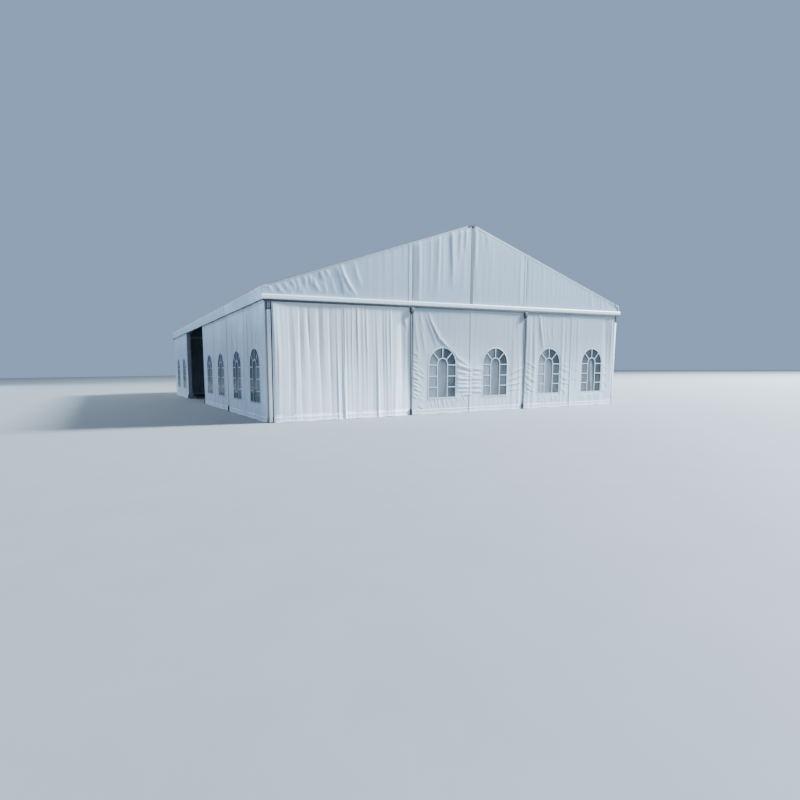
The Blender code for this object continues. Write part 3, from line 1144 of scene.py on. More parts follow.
@dataclass
class Drape:
    """How one curtain hangs: its plane and everything that lifts it."""

    edges: Place
    posts: Place
    top: float
    windows: tuple[float, ...]
    folds: list[Relief]
    lap: float
    lean: float
    plane: float = 0.042
    head: float = 0.13
    head_thickness: float = 0.003
    hem: float = 0.16
    hem_thickness: float = 0.007
    flare: float = 0.016
    flare_height: float = 0.10
    seam: float = 0.05
    seam_thickness: float = 0.0025

    def out(self, along: Array, up: Array) -> Array:
        """Works out where the face of the cloth hangs.

        Args:
            along: each point's place along the wall.
            up: its height above the ground.

        Returns:
            How far outside the legs each point lies.
        """
        lifted = np.zeros_like(along)
        for fold in self.folds:
            lifted += fold.lift(along, up)
        for middle in self.windows:
            lifted *= 0.20 + 0.80 * eased(share(arch_gap(along, up, middle), 0.10))
        from_post = np.minimum(along - self.posts[0], self.posts[1] - along)
        held = eased(share(self.top - up, 0.16))
        lifted *= (0.15 + 0.85 * held) * (0.25 + 0.75 * share(from_post, 0.04))
        free = share(from_post, 0.9)
        leaning = self.lean * np.clip(1.0 - up / self.top, 0.0, 1.0) * free * (2.0 - free)
        hem = self.hem_thickness * share(self.hem - up, 0.008)
        flare = self.flare * share(self.flare_height - up, self.flare_height) ** 2
        head = self.head_thickness * share(up - self.top + self.head, 0.006)
        own = np.minimum(along - self.edges[0], self.edges[1] - along)
        seam = self.seam_thickness * share(self.seam - own, 0.008)
        return self.plane + self.lap + lifted + leaning + hem + flare + head + seam


@dataclass
class CurtainBay:
    """The two curtains of one bay, with their windows and the zip between them."""

    facing: Facing
    number: int
    posts: Place
    windows: tuple[float, ...]
    films: tuple[Finish, Finish]
    folds: list[Relief] | None = None
    cell: float = 0.046
    lean: float = 0.012
    zipped: bool = False
    overlap: float = 0.06
    ground_gap: float = 0.006
    beam_gap: float = 0.004
    laps: Place = (0.007, 0.004)
    window_area: float = 1.62
    zip_sides: Place = (0.030, 0.004)
    zip_ends: float = 0.02
    zip_out: float = 0.0035
    zip_teeth: Place = (0.010, 0.0025)

    @property
    def name(self) -> str:
        """The name of the solid that these curtains stand for."""
        return f"wall_{self.facing.value}_{self.number}"

    @property
    def carrier(self) -> str:
        """The name of the beam that carries the curtains."""
        return f"{'gable' if self.facing.gable else 'eave'}_beam_{self.facing.value}"

    @property
    def top(self) -> float:
        """The height of the curtains' top edge."""
        return (BEAM_UNDERSIDE if self.facing.gable else EAVE_UNDERSIDE) - self.beam_gap

    def _columns(self, drape: Drape) -> Array:
        """Returns the places of the cloth's columns, some of them on the windows' sides."""
        marks = [*drape.edges]
        for middle in drape.windows:
            marks += [middle - WINDOW_HALF, middle + WINDOW_HALF]
        marks.sort()
        spans = zip(marks, marks[1:])
        runs = [np.linspace(a, b, max(2, round((b - a) / self.cell)) + 1)[:-1] for a, b in spans]
        return np.concatenate([*runs, [drape.edges[1]]])

    def _rows(self, drape: Drape) -> Array:
        """Returns the heights of the cloth's rows, closer together beside a window."""
        foot = [(self.ground_gap, drape.hem - 0.009, 5), (drape.hem - 0.009, drape.hem, 1)]
        head = [(self.top - 0.132, self.top - 0.122, 1), (self.top - 0.122, self.top, 2)]
        last = head[0][0]
        body = [(drape.hem, last, 34)]
        if drape.windows:
            arch = WINDOW_SPRING + WINDOW_HALF + 0.03
            body = [
                (drape.hem, WINDOW_SILL, 14),
                (WINDOW_SILL, WINDOW_SPRING, round((WINDOW_SPRING - WINDOW_SILL) / (self.cell * 0.8))),
                (WINDOW_SPRING, arch, round((arch - WINDOW_SPRING) / min(0.030, self.cell))),
                (arch, last, round((last - arch) / (self.cell * 1.6))),
            ]
        spans = [*foot, *body, *head]
        return np.concatenate([*[np.linspace(a, b, n + 1)[:-1] for a, b, n in spans], [self.top]])

    def _cut_windows(self, piece: Piece, drape: Drape) -> None:
        """Cuts the window openings through a curtain.

        Args:
            piece: the curtain, still flat.
            drape: how it will hang, with its windows.
        """
        along, up = points_of(piece).T[:2]
        gap = np.min([arch_gap(along, up, middle) for middle in drape.windows], axis=0)
        inside = gap < -0.001
        activate(piece)
        bpy.ops.object.mode_set(mode="EDIT")
        bpy.ops.mesh.select_all(action="DESELECT")
        bpy.ops.mesh.select_mode(type="FACE")
        bpy.ops.object.mode_set(mode="OBJECT")
        for polygon in piece.data.polygons:
            polygon.select = any(inside[corner] for corner in polygon.vertices)
        bpy.ops.object.mode_set(mode="EDIT")
        bpy.ops.mesh.delete(type="FACE")
        bpy.ops.object.mode_set(mode="OBJECT")

    def _curtain(self, name: str, drape: Drape, seed: int) -> Piece:
        """Hangs one curtain.

        Args:
            name: the piece's name.
            drape: how it hangs.
            seed: picks the line of its bottom edge.

        Returns:
            The piece.
        """
        piece = grid(name, self._columns(drape), self._rows(drape))
        if drape.windows:
            self._cut_windows(piece, drape)
        along, up = points_of(piece).T[:2].copy()
        phase = np.random.default_rng(seed).uniform(0, 2 * np.pi, 3)
        ripple = np.sin(along * 5.3 + phase[0]) + 0.6 * np.sin(along * 11.7 + phase[1])
        dip = 0.006 * ripple * share(drape.hem * 1.5 - up, drape.hem * 1.5)
        set_points(piece, self.facing.place(along, drape.out(along, up), np.maximum(up + dip, 0.002)))
        weld = drape.windows[0] if drape.windows else sum(drape.edges) / 2
        set_uv(piece, along - weld, up)
        finish = Finish.WALL if self.facing.gable else Finish.SIDE_WALL
        finish = finish if drape.windows else Finish.PLAIN_WALL
        sew(piece, finish, self.facing.mirrored)
        return piece

    def _zip(self, middle: float, drape: Drape) -> None:
        """Sews the zip tape along the seam between the two curtains.

        Args:
            middle: the middle of the bay.
            drape: how the curtain under it hangs.
        """
        name = f"zip_{self.facing.value}_{self.number}"
        low = middle - self.overlap / 2 - self.zip_sides[0]
        high = middle - self.overlap / 2 + self.zip_sides[1]
        rows = np.linspace(self.zip_ends, self.top - self.zip_ends, 110)
        piece = grid(name, np.linspace(low, high, 4), rows)
        along, up = points_of(piece).T[:2].copy()
        half, raised = self.zip_teeth
        rib = raised * (np.abs(along - (low + high) / 2) < half)
        set_points(piece, self.facing.place(along, drape.out(along, up) + self.zip_out + rib, up))
        set_uv(piece, along, up)
        sew(piece, Finish.TRIM, self.facing.mirrored)
        size = (high - low, self.top - 2 * self.zip_ends)

    def build(self, bars: Piece, film: Piece) -> None:
        """Hangs the bay's curtains and windows.

        Args:
            bars: the flat model of a window's border and bars.
            film: the flat model of its film.
        """
        middle = sum(self.posts) / 2
        cuts = (
            (self.posts[0], middle + self.overlap / 2),
            (middle - self.overlap / 2, self.posts[1]),
        )
        seed = 100 * list(Facing).index(self.facing) + 10 * self.number
        folds = self.folds or self._own_folds(seed)
        made, lap = 0, self.laps[0 if self.facing.gable else 1]
        for half, (letter, edges) in enumerate(zip("ab", cuts)):
            tail = f"{self.facing.value}_{self.number}_{letter}"
            windows = tuple(place for place in self.windows if edges[0] < place < edges[1])
            drape = Drape(edges, self.posts, self.top, windows, folds, lap * half, self.lean)
            curtain = self._curtain(f"curtain_{tail}", drape, seed + half)
            if half == 0 and self.zipped:
                self._zip(middle, drape)
            parts = []
            for place in windows:
                window = ArchedWindow(self.facing, place, drape, self.films[half])
                parts += window.build(f"window_{tail}", bars, film)
            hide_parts(self.name)
            width, height = edges[1] - edges[0], self.top - self.ground_gap
            width * height - len(windows) * self.window_area
            made += 1 + len(parts)
        LOG.info("%s: %d pieces", self.name, made)

    def _own_folds(self, seed: int) -> list[Relief]:
        """Returns soft folds, and creases about each window, for a bay without folds of its own."""
        low, high = self.posts
        depth = 0.028 if self.windows and not self.facing.gable else 0.022
        found: list[Relief] = [
            Billow(seed, 0.005),
            Pleats(seed + 1, (0.18, 0.40), depth, (low, high), top=self.top, fade_top=0.25),
            Pleats(seed + 3, (0.08, 0.16), 0.004, (low, high), top=self.top, fade_top=0.25),
        ]
        middle = (low + high) / 2
        for number, place in enumerate(self.windows):
            near, far = (low, middle) if place < middle else (middle, high)
            found += window_creases(seed + 2 + 5 * number, place, near, far)
        return found


# Folds read from the photograph


def wrinkles(low: float, high: float, rows: tuple[Place, ...], height: float, width: float) -> list[Crease]:
    """Makes level wrinkles between two places along the wall.

    Args:
        low: where they start.
        high: where they end.
        rows: the height of each at its start and at its end.
        height: how far they stand out.
        width: how wide they are.

    Returns:
        The creases.
    """
    return [Crease(((low, start), (high, end)), height, width, 0.2, 0.50, 1.8) for start, end in rows]


def nicks(
    starts: tuple[float, ...], top: float, run: Place, height: float, width: float, trough: float
) -> list[Crease]:
    """Makes a row of short slanting creases.

    Args:
        starts: where each starts along the wall.
        top: the height at which they start.
        run: how far along the wall they go, and the height at which they end.
        height: how far they stand out.
        width: how wide they are.
        trough: the depth of the trough beside each.

    Returns:
        The creases.
    """
    return [Crease(((x, top), (x + run[0], run[1])), height, width, trough) for x in starts]


def crumples(
    seed: int, low: float, high: float, foot: float, head: float, count: int, height: float
) -> list[Crease]:
    """Makes short slanting creases scattered over a strip of cloth.

    Args:
        seed: picks the creases.
        low: the strip's start along the wall.
        high: the strip's end.
        foot: the height of its foot.
        head: the height of its head.
        count: how many creases.
        height: how far the strongest stands out.

    Returns:
        The creases.
    """
    random = np.random.default_rng(seed)
    found = []
    for up in np.linspace(foot, head, count):
        start = low + random.uniform(0.0, 0.25) * (high - low)
        end = high - random.uniform(0.0, 0.35) * (high - low)
        fall = random.uniform(0.25, 0.75) * (end - start)
        knee = (start + end) / 2 + random.uniform(-0.02, 0.02)
        path = ((start, up + random.uniform(-0.03, 0.03)), (knee, up - fall * 0.3), (end, up - fall))
        strength = height * random.uniform(0.45, 1.0)
        found.append(Crease(path, strength, random.uniform(0.024, 0.042), 0.4, 0.7, 1.3))
    return found


def plain_bay_folds() -> list[Relief]:
    """Returns the folds of the front's first bay, which has no window."""
    return [
        Billow(3, 0.006),
        Crease(((-7.20, 3.60), (-7.16, 1.80), (-7.20, 0.00)), 0.022, 0.250, 0.0, 0.3, 3.2),
        Fold((-7.26, -7.27, -7.28, -7.31), 0.042, 0.280, 0.0),
        Fold((-6.83, -6.81, -6.80, -6.82), -0.010, 0.060, 0.0),
        Fold((-6.62, -6.62, -6.62, -6.66), 0.008, 0.070),
        Fold((-6.46, -6.47, -6.48, -6.48), -0.014, 0.050, 0.0),
        Fold((-6.14, -6.15, -6.16, -6.22), -0.016, 0.055, 0.0),
        Fold((-5.80, -5.82, -5.85, -5.86), -0.016, 0.050, 0.0),
        Fold((-5.60, -5.62, -5.66, -5.68), 0.005, 0.070),
        Fold((-5.46, -5.48, -5.49, -5.50), -0.010, 0.045, 0.0),
        Fold((-5.20, -5.21, -5.22, -5.23), 0.014, 0.055),
        Fold((-4.99, -5.01, -5.01, -5.02), 0.020, 0.060, 0.5),
        Fold((-4.84, -4.84, -4.85, -4.86), 0.006, 0.060),
        Fold((-4.70, -4.71, -4.72, -4.70), 0.009, 0.045),
        Fold((-4.49, -4.49, -4.50, -4.52), 0.012, 0.050),
        Fold((-4.28, -4.30, -4.32, -4.34), 0.005, 0.060),
        Fold((-4.16, -4.16, -4.17, -4.20), 0.011, 0.055),
        Fold((-3.98, -3.98, -4.00, -4.02), -0.006, 0.060, 0.0),
        Fold((-3.77, -3.78, -3.79, -3.82), 0.017, 0.060),
        Fold((-3.58, -3.60, -3.62, -3.63), -0.007, 0.045, 0.0),
        Fold((-3.40, -3.42, -3.44, -3.46), 0.008, 0.045),
        Fold((-3.28, -3.28, -3.29, -3.30), 0.013, 0.045),
        Fold((-3.12, -3.08, -3.04, -3.02), 0.010, 0.070, 0.0),
        Fold((-2.86, -2.86, -2.86, -2.88), -0.036, 0.200, 0.0),
        Crease(((-2.84, 3.42), (-2.74, 3.10), (-2.62, 2.90)), 0.014, 0.050, 0.5),
        Pleats(12, (0.10, 0.26), 0.004, (-7.4, -2.5), lean=0.03, fade_top=0.2),
        *crumples(5, -6.75, -6.30, 1.05, 1.35, 3, 0.007),
    ]


def middle_bay_folds() -> list[Relief]:
    """Returns the folds of the front's second bay, pulled hard about its left window."""
    return [
        Billow(5, 0.006),
        Crease(((-2.48, 3.60), (-2.46, 1.80), (-2.48, 0.00)), 0.012, 0.200, 0.0, 0.25, 2.8),
        Crease(((1.98, 2.80), (1.95, 1.40), (1.98, 0.05)), 0.012, 0.160, 0.0, 0.5, 2.6),
        Crease(((-0.66, 1.90), (-0.64, 1.00), (-0.60, 0.10)), 0.010, 0.160, 0.0, 0.5, 2.0),
        Crease(
            ((-1.86, 3.50), (-1.70, 3.12), (-1.38, 2.60), (-1.02, 2.30), (-0.76, 1.99)),
            0.026, 0.060, 0.1, 0.8, 0.8,
        ),
        Crease(((-1.96, 3.40), (-1.64, 2.70), (-1.42, 2.26)), 0.012, 0.050, 0.1, 0.9, 0.9),
        Crease(((-2.22, 3.40), (-2.04, 2.60), (-1.90, 1.95)), 0.010, 0.060, 0.0, 0.9, 1.2),
        Crease(((-2.38, 3.45), (-2.30, 2.60), (-2.14, 1.70)), 0.011, 0.055, 0.0, 0.9, 1.2),
        Crease(((-2.16, 3.52), (-2.12, 3.20), (-1.98, 2.80)), 0.009, 0.040, 0.4),
        Crease(((-0.92, 2.26), (-0.56, 1.90), (-0.04, 1.62)), 0.014, 0.052, 0.4, 0.7, 1.3),
        *wrinkles(-0.66, 0.04, ((1.66, 1.52), (1.20, 1.16), (0.90, 0.88)), 0.026, 0.054),
        *wrinkles(-0.64, 0.03, ((1.43, 1.34), (1.05, 1.02), (0.75, 0.74)), 0.018, 0.046),
        *wrinkles(-0.42, 0.12, ((1.56, 1.43), (1.30, 1.26), (0.60, 0.62)), 0.014, 0.036),
        *crumples(8, -2.46, -2.14, 0.62, 2.10, 12, 0.017),
        *crumples(9, -2.30, -1.94, 0.30, 1.60, 6, 0.009),
        *nicks((-1.70, -1.52, -1.41, -1.20, -1.03, -0.80), 0.56, (0.09, 0.20), 0.007, 0.034, 0.4),
        *nicks((-0.66, -0.52, -0.36), 0.60, (0.20, 0.36), 0.008, 0.034, 0.4),
        *wrinkles(0.00, 0.56, ((1.52, 1.49), (1.17, 1.16), (0.89, 0.86), (0.72, 0.70)), 0.020, 0.046),
        *wrinkles(0.02, 0.48, ((1.36, 1.33), (1.03, 1.04)), 0.014, 0.040),
        Crease(((1.74, 1.26), (2.06, 1.42), (2.46, 1.56)), 0.014, 0.054, 0.5),
        Crease(((1.76, 1.08), (2.10, 1.18), (2.46, 1.30)), 0.016, 0.052, 0.5),
        Crease(((1.76, 0.90), (2.10, 0.96), (2.46, 1.04)), 0.014, 0.048, 0.5),
        Crease(((1.80, 0.72), (2.10, 0.74), (2.42, 0.80)), 0.009, 0.044, 0.5),
        Crease(((1.76, 1.46), (2.02, 1.62), (2.40, 1.92)), 0.010, 0.056, 0.4),
        *nicks((0.70, 0.92, 1.08, 1.30, 1.52), 0.55, (0.05, 0.26), 0.004, 0.034, 0.4),
        Fold((2.28, 2.30, 2.26, 2.20), 0.010, 0.10),
        Pleats(21, (0.12, 0.30), 0.0035, (-2.5, 2.5), lean=0.03),
    ]


def last_bay_folds() -> list[Relief]:
    """Returns the folds of the front's third bay."""
    return [
        Billow(7, 0.006),
        Crease(((2.52, 3.60), (2.54, 1.80), (2.52, 0.00)), 0.014, 0.160, 0.0, 0.25, 2.6),
        Fold((2.58, 2.58, 2.58, 2.60), 0.010, 0.080, 0.0),
        Fold((2.76, 2.78, 2.78, 2.76), 0.012, 0.100, 0.0),
        Fold((3.03, 3.04, 3.03, 3.00), 0.018, 0.110, 0.3),
        Crease(((3.22, 3.70), (3.30, 3.10), (3.40, 2.60), (3.50, 2.16)), 0.024, 0.060, 0.0, 1.5, 0.6),
        Crease(((3.44, 3.60), (3.50, 3.00), (3.62, 2.40)), 0.009, 0.060, 0.0, 1.5, 0.6),
        Crease(((3.60, 3.46), (3.66, 2.90), (3.84, 2.40)), 0.006, 0.070, 0.2),
        Crease(((3.96, 3.44), (3.94, 2.90), (4.02, 2.40)), 0.006, 0.060, 0.4),
        Fold((4.46, 4.46, 4.45, 4.46), 0.010, 0.090),
        Fold((4.68, 4.68, 4.70, 4.68), 0.007, 0.070),
        Fold((4.94, 4.93, 4.90, 4.88), 0.004, 0.050),
        Crease(((2.54, 1.76), (2.80, 1.70), (3.10, 1.52)), 0.008, 0.050, 0.4),
        Crease(((2.54, 1.50), (2.74, 1.38), (3.04, 1.30)), 0.006, 0.050, 0.4),
        Crease(((2.54, 1.30), (2.78, 1.16), (3.16, 0.98)), 0.012, 0.050, 0.4),
        Crease(((2.56, 1.06), (2.72, 0.94), (2.96, 0.80)), 0.010, 0.048, 0.4),
        Crease(((2.66, 0.86), (2.84, 0.72), (3.14, 0.64)), 0.008, 0.046, 0.4),
        *crumples(18, 2.56, 2.96, 0.62, 1.60, 7, 0.007),
        Crease(((4.38, 1.52), (4.66, 1.40), (4.90, 1.38)), 0.008, 0.050, 0.3, 0.6, 1.4),
        Crease(((4.40, 1.26), (4.62, 1.10), (4.94, 1.04)), 0.009, 0.050, 0.3, 0.6, 1.4),
        Crease(((4.40, 0.98), (4.70, 0.90), (4.96, 0.90)), 0.009, 0.044, 0.3, 0.6, 1.4),
        Crease(((4.44, 0.74), (4.62, 0.62), (4.80, 0.46)), 0.008, 0.050, 0.3, 0.6, 1.4),
        Crease(((4.52, 1.70), (4.70, 1.58), (4.92, 1.60)), 0.006, 0.046, 0.6),
        *crumples(20, 4.42, 4.92, 0.50, 1.50, 4, 0.006),
        *nicks((3.34, 3.62, 3.98, 4.20), 0.50, (0.08, 0.20), 0.006, 0.040, 0.4),
        Fold((5.30, 5.30, 5.34, 5.30), 0.006, 0.100),
        Fold((6.98, 6.94, 6.90, 6.86), -0.017, 0.130, 0.0),
        Fold((7.32, 7.30, 7.26, 7.24), 0.014, 0.080, 0.0),
        Fold((6.70, 6.70, 6.68, 6.64), 0.006, 0.070, 0.0),
        *wrinkles(5.02, 5.44, ((1.46, 1.40), (1.10, 1.04)), 0.005, 0.050),
        *nicks((5.72, 6.10, 6.42), 0.50, (0.04, 0.24), 0.006, 0.036, 0.6),
        *crumples(19, 6.74, 7.20, 0.60, 1.60, 4, 0.009),
        Pleats(33, (0.12, 0.28), 0.004, (2.5, 7.4), lean=0.03),
    ]


# Gable cloth


def ridge(height: float, width: float, *places: Place) -> Crease:
    """Returns a crease of the gable, lit on a crisp right flank and softly shaded on its left."""
    return Crease(places, height, width, 0.0, 1.9, 0.55)


def gable_folds() -> tuple[list[Relief], ...]:
    """Returns the folds of the gable's four cloths, from the left of the front."""
    return (
        [
            ridge(0.031, 0.056, (-5.12, 4.95), (-4.96, 4.50), (-4.80, 4.22), (-4.50, 3.84)),
            ridge(0.014, 0.050, (-5.10, 4.60), (-5.04, 4.30), (-4.86, 3.98), (-4.62, 3.80)),
            ridge(0.013, 0.050, (-4.60, 4.92), (-4.50, 4.55), (-4.32, 4.10)),
            ridge(0.010, 0.050, (-5.26, 4.74), (-5.14, 4.60), (-5.12, 4.40)),
            ridge(0.009, 0.045, (-5.40, 4.40), (-5.32, 4.10), (-5.22, 3.84)),
            ridge(0.015, 0.045, (-5.62, 4.66), (-5.50, 4.50), (-5.44, 4.36)),
            ridge(0.016, 0.040, (-5.80, 4.62), (-5.72, 4.46), (-5.60, 4.26)),
            Crease(((-5.84, 4.66), (-5.82, 4.46), (-5.84, 4.26)), -0.007, 0.030, 0.0),
            ridge(0.020, 0.038, (-5.98, 4.34), (-5.90, 4.12), (-5.76, 3.92)),
            ridge(0.015, 0.038, (-6.16, 4.50), (-6.08, 4.30), (-6.06, 4.10)),
            ridge(0.016, 0.034, (-6.34, 4.44), (-6.24, 4.26), (-6.22, 4.00)),
            Crease(((-6.12, 4.46), (-6.14, 4.20), (-6.08, 3.96)), -0.006, 0.030, 0.0),
            ridge(0.012, 0.032, (-6.80, 4.06), (-6.72, 3.96), (-6.68, 3.80)),
            ridge(0.012, 0.032, (-7.10, 3.98), (-6.98, 3.90), (-6.92, 3.80)),
            ridge(0.010, 0.030, (-6.40, 4.10), (-6.34, 3.96), (-6.30, 3.80)),
            ridge(0.010, 0.034, (-5.66, 4.24), (-5.58, 4.06), (-5.54, 3.82)),
            ridge(0.010, 0.034, (-5.02, 4.20), (-4.98, 4.04), (-4.90, 3.84)),
            ridge(0.015, 0.034, (-6.56, 4.36), (-6.46, 4.14), (-6.44, 3.86)),
            ridge(0.014, 0.034, (-6.74, 4.26), (-6.62, 4.12), (-6.58, 3.90)),
            ridge(0.014, 0.034, (-6.96, 4.20), (-6.86, 4.06), (-6.80, 3.88)),
            ridge(0.015, 0.036, (-7.22, 4.14), (-7.08, 4.00), (-7.04, 3.84)),
            ridge(0.012, 0.034, (-7.44, 4.06), (-7.34, 3.94), (-7.26, 3.84)),
            Pleats(41, (0.12, 0.26), 0.007, (-4.6, -2.6), lean=0.03, top=5.6, droop=0.9),
            Pleats(42, (0.20, 0.40), 0.003, (-4.4, -2.6), lean=0.02, top=6.4),
        ],
        [
            ridge(0.022, 0.076, (-2.20, 6.20), (-2.18, 5.40), (-2.17, 4.70), (-2.20, 3.60)),
            ridge(0.007, 0.060, (-2.00, 6.00), (-1.98, 5.10), (-2.00, 4.00)),
            ridge(0.006, 0.070, (-1.74, 6.10), (-1.72, 5.20), (-1.74, 4.20)),
            ridge(0.017, 0.066, (-1.42, 6.50), (-1.40, 5.70), (-1.42, 4.80), (-1.44, 4.00)),
            ridge(0.007, 0.050, (-1.24, 6.20), (-1.22, 5.20), (-1.24, 4.20)),
            Crease(((-0.90, 6.90), (-0.87, 5.90), (-0.84, 5.20), (-0.82, 4.30)), 0.022, 0.115, 0.2, 0.9, 0.8),
            Crease(((-0.98, 6.60), (-0.96, 5.60), (-0.92, 4.60)), -0.009, 0.070, 0.0),
            Crease(((-0.50, 6.80), (-0.52, 6.00), (-0.54, 5.20)), 0.014, 0.070, 0.2, 0.9, 0.8),
            Crease(((-0.28, 6.80), (-0.28, 6.10), (-0.30, 5.50)), 0.014, 0.060, 0.2, 0.9, 0.8),
            ridge(0.006, 0.050, (-0.34, 5.60), (-0.32, 4.80), (-0.34, 4.10)),
            Pleats(43, (0.08, 0.20), 0.0035, (-2.45, -0.05), lean=0.02, top=7.0),
        ],
        [
            ridge(0.010, 0.060, (0.16, 6.70), (0.15, 5.60), (0.16, 4.90)),
            Crease(((0.30, 6.50), (0.28, 5.80), (0.30, 5.10)), -0.005, 0.050, 0.0),
            ridge(0.005, 0.050, (0.24, 5.20), (0.23, 4.60), (0.24, 4.00)),
            Crease(((0.52, 6.50), (0.54, 6.10), (0.60, 5.60)), -0.005, 0.045, 0.0),
            ridge(0.006, 0.050, (0.70, 6.40), (0.72, 5.90), (0.74, 5.30)),
            ridge(0.005, 0.050, (0.92, 6.20), (0.92, 5.50), (0.93, 4.60)),
            ridge(0.008, 0.060, (2.26, 5.90), (2.25, 5.00), (2.26, 3.70)),
            Pleats(45, (0.12, 0.30), 0.003, (0.05, 2.4), lean=0.02, top=7.0),
        ],
        [
            ridge(0.005, 0.060, (2.70, 5.70), (2.68, 4.80), (2.68, 3.80)),
            ridge(0.008, 0.060, (6.00, 4.50), (6.04, 4.10), (6.10, 3.76)),
            ridge(0.007, 0.050, (6.56, 4.34), (6.62, 4.02), (6.66, 3.76)),
            ridge(0.007, 0.050, (6.88, 4.24), (6.94, 3.98), (7.02, 3.76)),
            Pleats(47, (0.18, 0.4), 0.003, (2.6, 7.4), lean=0.02, top=7.0),
            Pleats(48, (0.14, 0.30), 0.006, (2.6, 7.4), lean=0.03, top=4.4, droop=0.4),
        ],
    )


@dataclass
class GablePanels:
    """The four cloths of a gable triangle and the strips over their seams."""

    facing: Facing
    bottom: float = BEAM_TOP + 0.004
    edge_drop: float = 0.058
    plane: float = 0.014
    cell: float = 0.04
    cuts: tuple[Place, ...] = ((-7.612, -2.612), (-2.438, -0.055), (0.050, 2.420), (2.560, 7.612))
    brim: float = 0.034
    crown_out: float = 0.016
    brim_out: float = 0.003

    @property
    def turn(self) -> int:
        """The sign between this gable's X and the front's, seen from outside."""
        return 1 if self.facing is Facing.FRONT else -1

    def _panel(self, number: int, low: float, high: float) -> None:
        """Makes one cloth of the gable.

        Args:
            number: which cloth, counted from the left of the front.
            low: where it starts along the gable.
            high: where it ends.
        """
        columns = np.linspace(low, high, round((high - low) / self.cell) + 1)
        name = f"gable_cloth_{self.facing.value}_{number + 1}"
        piece = grid(name, columns, np.linspace(0.0, 1.0, 30))
        along, level = points_of(piece).T[:2].copy()
        top = roof_top(along) - np.interp(np.abs(along), (7.38, 7.46), (self.edge_drop, 0.008))
        up = self.bottom + level * (top - self.bottom)
        reliefs = [*gable_folds()[number], Billow(60 + number, 0.003)]
        lifted = sum(relief.lift(self.turn * along, up) for relief in reliefs)
        held = share(top - up, 0.05) * share(up - self.bottom, 0.05)
        side = share(np.minimum(along - low, high - along), 0.06)
        out = self.plane + lifted * held * (0.2 + 0.8 * side)
        set_points(piece, self.facing.place(along, out, up))
        set_uv(piece, along, up)
        sew(piece, Finish.ROOF, self.facing.mirrored)
        width, height = high - low, float(np.max(top) - self.bottom)
        mean = float(np.mean(roof_top(columns) - self.edge_drop) - self.bottom)
        max(width * mean, 0.301 * width * height)
        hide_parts(f"gable_infill_{self.facing.value}")

    def _seam_strip(self, name: str, middle: float, half: float, finish: Finish, slot: str) -> None:
        """Makes the strip that covers the post between two cloths.

        Args:
            name: the piece's name.
            middle: the strip's middle along the gable.
            half: half its width.
            finish: how it looks.
            slot: the name of a material slot; it gives the piece no slot.
        """
        inner = half - self.brim
        edges = (-half, -inner - 0.003, -inner, inner, inner + 0.003, half)
        piece = grid(name, middle + np.array(edges), np.linspace(0.0, 1.0, 12))
        along, level = points_of(piece).T[:2].copy()
        out = np.where(np.abs(along - middle) < inner + 0.001, self.crown_out, self.brim_out)
        up = self.bottom + level * (roof_top(along) - self.edge_drop - self.bottom)
        set_points(piece, self.facing.place(along, out, up))
        sew(piece, finish, self.facing.mirrored)
        if slot == "roof_cloth":
            height = float(roof_top(abs(middle) + half)) - self.edge_drop - self.bottom

    def build(self) -> None:
        """Makes the cloths and seam strips of the gable."""
        for number, cut in enumerate(self.cuts):
            self._panel(number, *sorted(self.turn * place for place in cut))
        for place, middle, half, finish, slot in (
            ("left", -2.525, 0.094, Finish.TAPE, "roof_cloth"),
            ("middle", 0.012, 0.088, Finish.TRACK, "frame_aluminium"),
            ("right", 2.490, 0.078, Finish.TAPE, "roof_cloth"),
        ):
            name = f"gable_seam_{self.facing.value}_{place}"
            self._seam_strip(name, self.turn * middle, half, finish, slot)
        LOG.info("gable_%s: %d cloths", self.facing.value, len(self.cuts))


# Roof covers


def cover_top(across: float) -> float:
    """Returns the height of the cover at a distance across the tent."""
    return float(roof_top(across)) - COVER_DROP


def eave_bend() -> list[Place]:
    """Returns the cover's section where it bends over the eave, from the flap up to the slope."""
    face, eave = FLAP_FACE, cover_top(FLAP_FACE)
    turns = [(face, eave - 0.045), (face - 0.006, eave - 0.020), (face - 0.022, eave - 0.002)]
    return [*turns, (face - 0.06, cover_top(face - 0.06))]


